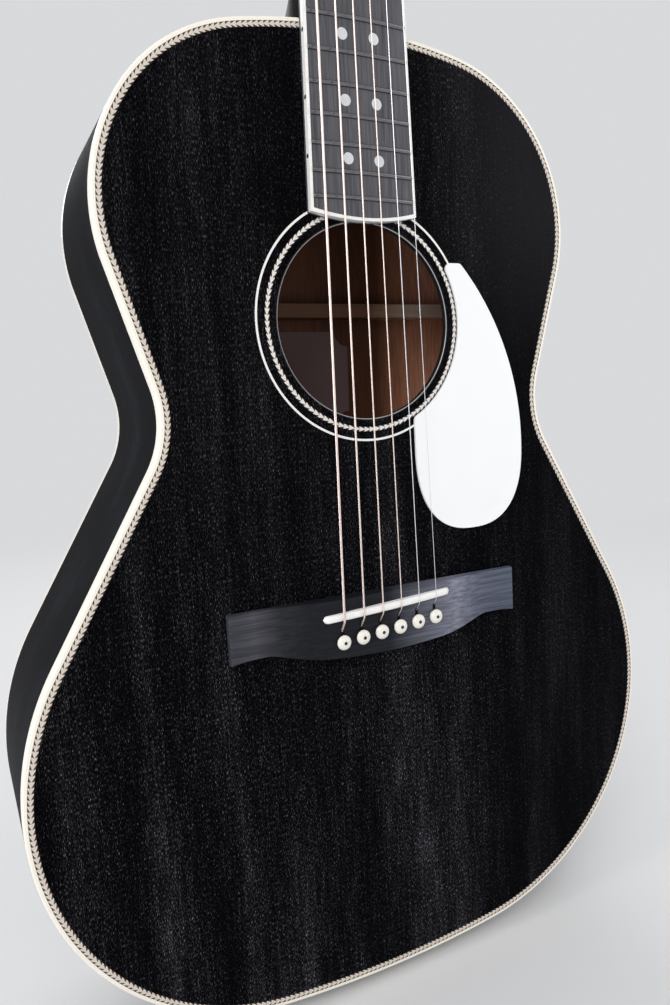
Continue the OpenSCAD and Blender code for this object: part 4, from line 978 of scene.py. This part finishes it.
def build_strings():
    """Strings in two sets, with the run along each for its wrap."""
    keep = Vector((1.0, 0.0, 0.0))
    wound, plain = range(WOUND_COUNT), range(WOUND_COUNT, STRING_COUNT)
    sets = (("wound_strings", wound, BRONZE_WIRE), ("plain_strings", plain, PLAIN_WIRE))
    for label, group, finish in sets:
        parts, along = [], []
        for i in group:
            path = softened(string_path(i))
            parts.append(tube(path, STRING_D[i] / 2 * MM, STRING_SIDES, keep))
            run = 0.0
            for k, p in enumerate(path):
                if k:
                    run += (p - path[k - 1]).length / MM
                along += [run] * STRING_SIDES
        obj = add_piece(label, join_parts(parts), [finish], slot="bronze_strings", nodes=["strings"],
                        sharp=80.0)
        put_values(obj, "along", along)


def winding_path(i):
    """Turns of the string round its post."""
    path = []
    steps = WIND_STEPS * TURNS[i]
    for k in range(steps + 1):
        a = WIND_FROM + tau * TURNS[i] * k / steps
        path.append(at_tuner(i, -wind_r(i) * cos(a), wind_depth(i, a), wind_r(i) * sin(a)))
    first = (path[0] - path[1]).normalized() * LEAD_SHARE * STRING_D[i] * MM
    last = (path[-1] - path[-2]).normalized() * STRING_D[i] * MM
    return [path[0] + first] + path + [path[-1] + last]


def gear_part(i):
    """Toothed wheel as one loop drawn through its thickness, with teeth laid to the worm's lead."""
    tip, root = GEAR_R + TOOTH_OUT, GEAR_R - TOOTH_IN
    lead = atan(WORM_PITCH / (tau * WORM_R))
    twist = tan(lead) * GEAR_T / GEAR_R
    sections = []
    for share in (0.0, 1.0):
        ring = []
        for k in range(GEAR_TEETH):
            middle = tau * k / GEAR_TEETH + pi / 2 - twist * (share - 0.5)
            tooth = ((root, -TOOTH_FOOT), (tip, -TOOTH_TIP), (tip, TOOTH_TIP), (root, TOOTH_FOOT))
            for r, off in tooth:
                a = middle + off
                depth = HEAD_T + GEAR_MID + GEAR_T * (share - 0.5)
                ring.append(at_tuner(i, r * cos(a), depth, -r * sin(a)))
        sections.append(ring)
    return loft(sections)


def build_posts():
    """Post, gear and screw of each machine, and the string wound round its post."""
    inward = (on_head(0, 1, 0) - on_head(0, 0, 0)).normalized()
    across = Vector((1.0, 0.0, 0.0))
    top = -VENEER_T - POST_RISE
    back = HEAD_T + GEAR_MID
    hub = HEAD_T + PLATE_T + HUB_GAP
    shape = [(top, 1.6), (top + 0.15, 2.3), (top + 0.5, 2.75), (top + 1.1, 3.0), (top + 3.0, POST_R),
             (hub, POST_R), (hub, HUB_R), (back, HUB_R)]
    screw = [(back, 2.6), (back + GEAR_T / 2 + 1.0, 2.6), (back + GEAR_T / 2 + 1.4, 2.1)]
    for i in range(STRING_COUNT):
        body = "post_%d" % (i + 1)
        node = "string_post_%d" % (i + 1)
        place = at_tuner(i, 0.0, 0.0, 0.0)
        post = [lathe(shape, place, inward, across), gear_part(i), lathe(screw, place, inward, across, 24)]
        add_piece("post_and_gear_%d" % (i + 1), join_parts(post), [NICKEL], "nickel", [node], body)
        turns = tube(winding_path(i), STRING_D[i] / 2 * MM, STRING_SIDES, inward)
        finish = BRONZE_WIRE if i < WOUND_COUNT else PLAIN_WIRE
        wire = add_piece("string_winding_%d" % (i + 1), turns, [finish], "bronze_strings", [node], body,
                         sharp=80.0)
        put_values(wire, "along", [WIND_RUN * (k // STRING_SIDES) for k in range(len(turns[0]))])


def worm_thread(i):
    """Thread as sections along the shaft whose one high side turns with the helix."""
    sections = []
    steps = WORM_STEPS * WORM_TURNS
    tip, root = WORM_R + TOOTH_OUT, WORM_R - TOOTH_IN
    for k in range(steps + 1):
        out = WORM_PITCH * WORM_TURNS * (k / steps - 0.5)
        lead = tau * out / WORM_PITCH
        ring = []
        for j in range(WORM_SIDES):
            a = tau * j / WORM_SIDES
            away = abs(degrees((a + pi) % tau - pi))
            r = root + (tip - root) * (1 - ease((away - WORM_FLANK) / WORM_FLANK))
            t = a + lead
            ring.append(at_tuner(i, out, HEAD_T + GEAR_MID - r * sin(t), -WORM_OFF - r * cos(t)))
        sections.append(ring)
    return loft(sections)


def build_keys():
    """Worm shaft and button of each machine."""
    button_from = HEAD_W / 2 - POST_X + BUTTON_GAP
    up = (on_head(0, 0, 1) - on_head(0, 0, 0)).normalized()
    thread = WORM_PITCH * WORM_TURNS / 2
    inner = [(-thread - 2.7, 1.2), (-thread - 2.4, SHAFT_R), (-thread + 0.1, SHAFT_R)]
    outer = [(thread - 0.1, SHAFT_R), (button_from + 5.0, SHAFT_R)]
    shape = [(0.0, 2.4, 2.4), (0.3, 2.7, 2.7), (BUTTON_NECK, 3.0, 3.0), (2.9, 5.0, 3.3)]
    for k in range(1, BUTTON_STEPS + 1):
        t = pi * (BUTTON_START + (1 - BUTTON_START) * k / BUTTON_STEPS)
        along = BUTTON_NECK + BUTTON_L * (1 - cos(t)) / 2
        round_out = max(BUTTON_LEAST, sin(t)) ** BUTTON_ROUND
        shape.append((along, BUTTON_HALF_W * round_out, BUTTON_HALF_T * round_out ** BUTTON_THIN))
    for i in range(STRING_COUNT):
        body = "key_%d" % (i + 1)
        place = at_tuner(i, 0.0, HEAD_T + GEAR_MID, -WORM_OFF)
        out = Vector((float(SIDE[i]), 0.0, 0.0))
        shaft = [worm_thread(i)] + [lathe(end, place, out, up, 24) for end in (inner, outer)]
        add_piece("worm_and_shaft_%d" % (i + 1), join_parts(shaft), [NICKEL], "nickel",
                  ["worm_shaft_%d" % (i + 1)], body)
        deep = up.cross(out).normalized()
        sections = []
        for along, wide, thick in shape:
            middle = out * (button_from + along)
            ring = [middle + up * wide * c + deep * thick * s for c, s in circle(BUTTON_SIDES)]
            sections.append([place + p * MM for p in ring])
        add_piece("key_button_%d" % (i + 1), loft(sections), [IVORY], "ivory_plastic",
                  ["tuner_button_%d" % (i + 1)], body, sharp=60.0)


# Neck

JOINT_W, NECK_T_NUT, NECK_T_HEEL, VOLUTE_L = 55.4, 14.5, 16.5, 32.0
HEEL_TIP_L, HEEL_TIP_W, HEEL_COVE, HEEL_ROOT = 20.0, 24.0, 46.0, 2.5
HEEL_END, HEEL_FROM = NECK_DEPTH - 2.5, 0.55 * NECK_T_HEEL
TENON_L, TENON_W, TENON_FLARE, TENON_DEPTH = 20.0, 22.0, 4.0, 0.7 * NECK_DEPTH
HEAD_L, HEAD_ARCH, HEAD_SPARE, SHOULDER_W, SHOULDER_L = 178.0, 7.0, 0.5, 66.0, 34.0
BUSH_HOLE_R, POCKET_W, POCKET_FROM, POCKET_TO, POCKET_DEPTH = 5.05, 9.0, 3.0, 29.0, 10.1
HEEL_TAPER, HEEL_ROUND, HEEL_BLEND = 1.25, (2.0, 2 / 0.9), 2.5
HEEL_STATIONS = [-HEEL_ROOT, 0.0, 6.0, 12.0, 16.0, 19.0, HEEL_TIP_L]
D_ACROSS, D_ALONG, BOXED = 2.0, 2.33, 30.0
NECK_STEPS, COVE_STEPS, SHAFT_STEPS, VOLUTE_STEPS = 20, 30, 12, 18
RISE_STEPS, ARCH_STEPS = 20, 12


def board_half(z):
    return between(JOINT_W, NUT_W, (z - BODY_L) / (NUT_Z - BODY_L)) / 2


def neck_t(z):
    return between(NECK_T_HEEL, NECK_T_NUT, (z - BODY_L) / (NUT_Z - BODY_L))


def rounded(share, across, along):
    """Width of a rounded section as a share, at a share of its depth; higher powers are squarer."""
    return max(0.0, 1 - min(1.0, share) ** along) ** (1 / across)


def neck_loop(width_at, deepest, place):
    """A loop down the treble side to the deepest line and back up the bass side."""
    side = []
    for k in range(NECK_STEPS + 1):
        share = sin(pi / 2 * k / NECK_STEPS)
        side.append((max(width_at(share), 0.01), deepest * share))
    return [place(x, depth) for x, depth in side] + [place(-x, depth) for x, depth in reversed(side)]


def heel_half(depth, up):
    """Half the heel's width at a depth, so far up from the body."""
    share = min(1.0, max(0.0, (HEEL_END - depth) / (HEEL_END - HEEL_FROM)))
    half = between(HEEL_TIP_W, JOINT_W, share ** HEEL_TAPER) / 2
    reach = HEEL_TIP_L + HEEL_COVE * (1 - sqrt(1 - share ** 2))
    return half * rounded(max(0.0, up) / reach, *HEEL_ROUND)


def heel_loop(up, heel_depth):
    """A loop round heel and shaft together, with the edge between them softened."""
    z = BODY_L + up
    half, thick = board_half(z), neck_t(z)
    soft, crisp = 4, 10
    true_depth = max(thick, heel_depth)
    deepest = (thick ** soft + heel_depth ** soft) ** (1 / soft)
    fading = 1 - ease((deepest / thick - 1) / HEEL_BLEND)

    def width_at(share):
        shaft = half * rounded(share * deepest / thick, D_ACROSS, D_ALONG)
        blend = half * rounded(share, D_ACROSS, D_ALONG) * fading
        heel = heel_half(share * true_depth, up)
        return min(half, sum(w ** crisp for w in (shaft, blend, heel)) ** (1 / crisp))

    return neck_loop(width_at, deepest, lambda x, depth: point(x, depth, z))


def shaft_loop(z, t):
    """A loop round the shaft that turns, by the share t, into the headstock's square section."""
    half = between(board_half(z), head_half(0.0), t)
    thick = between(neck_t(z), HEAD_T, t)
    across = 1 / between(1 / D_ACROSS, 1 / BOXED, t)
    along = 1 / between(1 / D_ALONG, 1 / BOXED, t)
    c, s = cos(HEAD_TILT * t), sin(HEAD_TILT * t)
    return neck_loop(lambda share: half * rounded(share, across, along), thick,
                     lambda x, depth: point(x, depth * c, z - depth * s))


def shaft_loops():
    """Loops from the heel's foot to the headstock; the heel fades out over the last fifth of its cove."""
    loops = [heel_loop(up, HEEL_END) for up in HEEL_STATIONS]
    for k in range(1, COVE_STEPS + 1):
        share = k / COVE_STEPS
        a = pi / 2 * share
        up = HEEL_TIP_L + HEEL_COVE * (1 - cos(a))
        fade = HEEL_FROM * ease(5 * share - 4)
        loops.append(heel_loop(up, between(HEEL_END, HEEL_FROM, sin(a)) - fade))
    low, high = BODY_L + HEEL_TIP_L + HEEL_COVE, NUT_Z - VOLUTE_L
    for k in range(1, SHAFT_STEPS + 1):
        loops.append(shaft_loop(between(low, high, k / SHAFT_STEPS), 0.0))
    for k in range(1, VOLUTE_STEPS + 1):
        share = k / VOLUTE_STEPS
        loops.append(shaft_loop(between(high, HEAD_Z, share), ease(share)))
    return loops


def head_half(z):
    if z < SHOULDER_L:
        return between(NUT_W / 2 + HEAD_SPARE, SHOULDER_W / 2, ease(z / SHOULDER_L))
    return between(SHOULDER_W, HEAD_W, (z - SHOULDER_L) / (HEAD_L - HEAD_ARCH - SHOULDER_L)) / 2


def head_outline(inset):
    rise = [SHOULDER_L * k / RISE_STEPS for k in range(RISE_STEPS + 1)] + [HEAD_L - HEAD_ARCH - inset]
    right = [(head_half(z) - inset, z) for z in rise]
    half, top = HEAD_W / 2 - inset, HEAD_L - inset
    arch = []
    for k in range(ARCH_STEPS - 1, -ARCH_STEPS, -1):
        arch.append((half * k / ARCH_STEPS, top - HEAD_ARCH * (k / ARCH_STEPS) ** 2))
    return right + arch + [(-x, z) for x, z in reversed(right)]


def head_slab(layers):
    """Headstock wood through layers of depth and loops: the outline first, then its holes."""
    sizes = [len(loop) for loop in layers[0][1]]
    count = sum(sizes)
    verts = [on_head(x, depth, z) for depth, loops in layers for loop in loops for x, z in loop]
    faces = []
    for row in range(len(layers) - 1):
        start = row * count
        for size in sizes:
            for k in range(size):
                a, b = start + k, start + (k + 1) % size
                faces.append([a, b, b + count, a + count])
            start += size
    for row in (0, len(layers) - 1):
        flat = [[Vector((x, z, 0.0)) for x, z in loop] for loop in layers[row][1]]
        faces += [[row * count + i for i in corners] for corners in tessellate_polygon(flat)]
    return verts, faces


def build_neck():
    """Shaft with its heel, headstock with its holes, and the tenon in the body, as one wood."""
    soft = 0.7
    holes = []
    for side, z in zip(SIDE, POST_Z):
        holes.append([(side * POST_X + BUSH_HOLE_R * c, z + BUSH_HOLE_R * s) for c, s in circle(32)])
    half = POCKET_W / 2
    pocket = [(-half, POCKET_FROM), (half, POCKET_FROM), (half, POCKET_TO), (-half, POCKET_TO)]
    whole = [head_outline(0.0)] + holes
    front = head_slab([(depth, whole + [pocket]) for depth in (0.0, POCKET_DEPTH)])
    softened_whole = [head_outline(soft)] + holes
    back = head_slab([(POCKET_DEPTH, whole), (HEAD_T - soft, whole), (HEAD_T, softened_whole)])
    tenon = []
    for z, half in ((BODY_L - TENON_L, TENON_W / 2 + TENON_FLARE), (BODY_L, TENON_W / 2)):
        corners = ((-half, 0.0), (half, 0.0), (half, TENON_DEPTH), (-half, TENON_DEPTH))
        tenon.append([point(x, depth, z) for x, depth in corners])
    wood = join_parts([loft(shaft_loops()), front, back, loft(tenon)])
    add_piece("neck_wood", wood, [BLACK_NECK], slot="dark_neck_wood", nodes=["neck"], sharp=40.0)


build_rim()
build_back()
build_hole_lip()
build_bridge()
build_saddle()
build_pins()
build_strings()
build_posts()
build_keys()
build_neck()


# Floor, light and camera

STUDIO_GREY = (0.82, 0.83, 0.85)
FLOOR_DARK, FLOOR_PALE = (0.79, 0.79, 0.795), (0.8, 0.8, 0.805)
FLOOR_ROUGH, FLOOR_SPREAD = 0.8, 0.05
STUDIO_LIGHT, STUDIO_SEEN = 0.7, 0.84
# Each lamp: name, place, aim, size and watts
LAMPS = [
    ("key_softbox", (-1.3, -1.6, 1.5), (0.0, 0.0, 0.35), (1.2, 1.2), 24.0),
    ("left_softbox", (-1.9, -0.2, 0.6), (0.0, 0.0, 0.3), (0.8, 1.4), 15.0),
    ("side_softbox", (1.7, -1.2, 0.9), (0.0, 0.0, 0.3), (0.9, 1.6), 9.0),
    ("back_softbox", (0.4, 1.8, 1.4), (0.0, 0.0, 0.4), (1.2, 1.2), 10.0),
]
# The photo's camera: focal length in pixels, place in millimetres, directions
PHOTO_H, PHOTO_FOCAL, SENSOR_W = 1005, 777.93, 36.0
EYE, LOOK, UPRIGHT = (-195.6, -346.9, 308.4), (0.4417, 0.8890, -0.1211), (0.1042, 0.0832, 0.9911)


def seen_rays(tree):
    """1 for rays that show the background itself, 0 for rays that carry its light."""
    rays = tree.nodes.new("ShaderNodeLightPath")
    seen = maths(tree, "MAXIMUM", rays.outputs["Is Camera Ray"], rays.outputs["Is Transmission Ray"])
    return maths(tree, "MAXIMUM", seen, rays.outputs["Is Glossy Ray"])


def build_floor():
    """Pale floor that takes the object's shadow and fades into the background further off."""
    low = CAD_BOX[0][2]
    mesh = bpy.data.meshes.new("floor")
    reach, fade_from, fade_to = 6.0, 0.7, 2.0
    corners = ((-reach, -reach), (reach, -reach), (reach, reach), (-reach, reach))
    mesh.from_pydata([(x, y, low) for x, y in corners], [], [[0, 1, 2, 3]])
    floor = bpy.data.objects.new("floor", mesh)
    bpy.context.scene.collection.objects.link(floor)
    material, tree, shader, where = new_finish("pale_floor", rough=FLOOR_ROUGH, specular=0.1)
    worn = use_group(tree, HANDLING, Vector=where, Amount=FLOOR_SPREAD, Base=FLOOR_ROUGH)
    paint(tree, shader, mix_colours(tree, worn["Tone"], FLOOR_DARK, FLOOR_PALE))
    away = tree.nodes.new("ShaderNodeVectorMath")
    away.operation = "LENGTH"
    tree.links.new(where, away.inputs[0])
    fading = steps_between(tree, away.outputs["Value"], fade_from, fade_to)
    far = maths(tree, "MULTIPLY", fading, seen_rays(tree))
    glow = tree.nodes.new("ShaderNodeEmission")
    glow.inputs["Color"].default_value = (*STUDIO_GREY, 1.0)
    glow.inputs["Strength"].default_value = STUDIO_SEEN
    blend = tree.nodes.new("ShaderNodeMixShader")
    tree.links.new(far, blend.inputs["Fac"])
    tree.links.new(shader.outputs["BSDF"], blend.inputs[1])
    tree.links.new(glow.outputs["Emission"], blend.inputs[2])
    tree.links.new(blend.outputs["Shader"], tree.nodes["Material Output"].inputs["Surface"])
    mesh.materials.append(material)


def add_lamp(name, place, target, size, power):
    data = bpy.data.lights.new(name, "AREA")
    data.shape = "RECTANGLE"
    data.size, data.size_y = size
    data.energy = power
    lamp = bpy.data.objects.new(name, data)
    lamp.location = place
    lamp.rotation_mode = "QUATERNION"
    lamp.rotation_quaternion = (Vector(target) - Vector(place)).to_track_quat("-Z", "Y")
    bpy.context.scene.collection.objects.link(lamp)


def build_light():
    world = bpy.data.worlds.new("studio")
    bpy.context.scene.world = world
    world.use_nodes = True
    tree = world.node_tree
    background = tree.nodes["Background"]
    background.inputs["Color"].default_value = (*STUDIO_GREY, 1.0)
    strength = maths(tree, "MULTIPLY_ADD", seen_rays(tree), STUDIO_SEEN - STUDIO_LIGHT, STUDIO_LIGHT)
    tree.links.new(strength, background.inputs["Strength"])
    for lamp in LAMPS:
        add_lamp(*lamp)


def build_camera():
    data = bpy.data.cameras.new("photo_view")
    data.sensor_width = SENSOR_W
    data.lens = PHOTO_FOCAL / PHOTO_H * SENSOR_W
    data.clip_start = 0.01
    camera = bpy.data.objects.new("photo_view", data)
    bpy.context.scene.collection.objects.link(camera)
    ahead = Vector(LOOK).normalized()
    right = ahead.cross(Vector(UPRIGHT)).normalized()
    up = right.cross(ahead)
    turn = Matrix((right, up, -ahead)).transposed()
    camera.matrix_world = Matrix.Translation(point(*EYE)) @ turn.to_4x4()
    bpy.context.scene.camera = camera


build_floor()
build_light()
build_camera()
bpy.context.scene.view_settings.view_transform = "Standard"
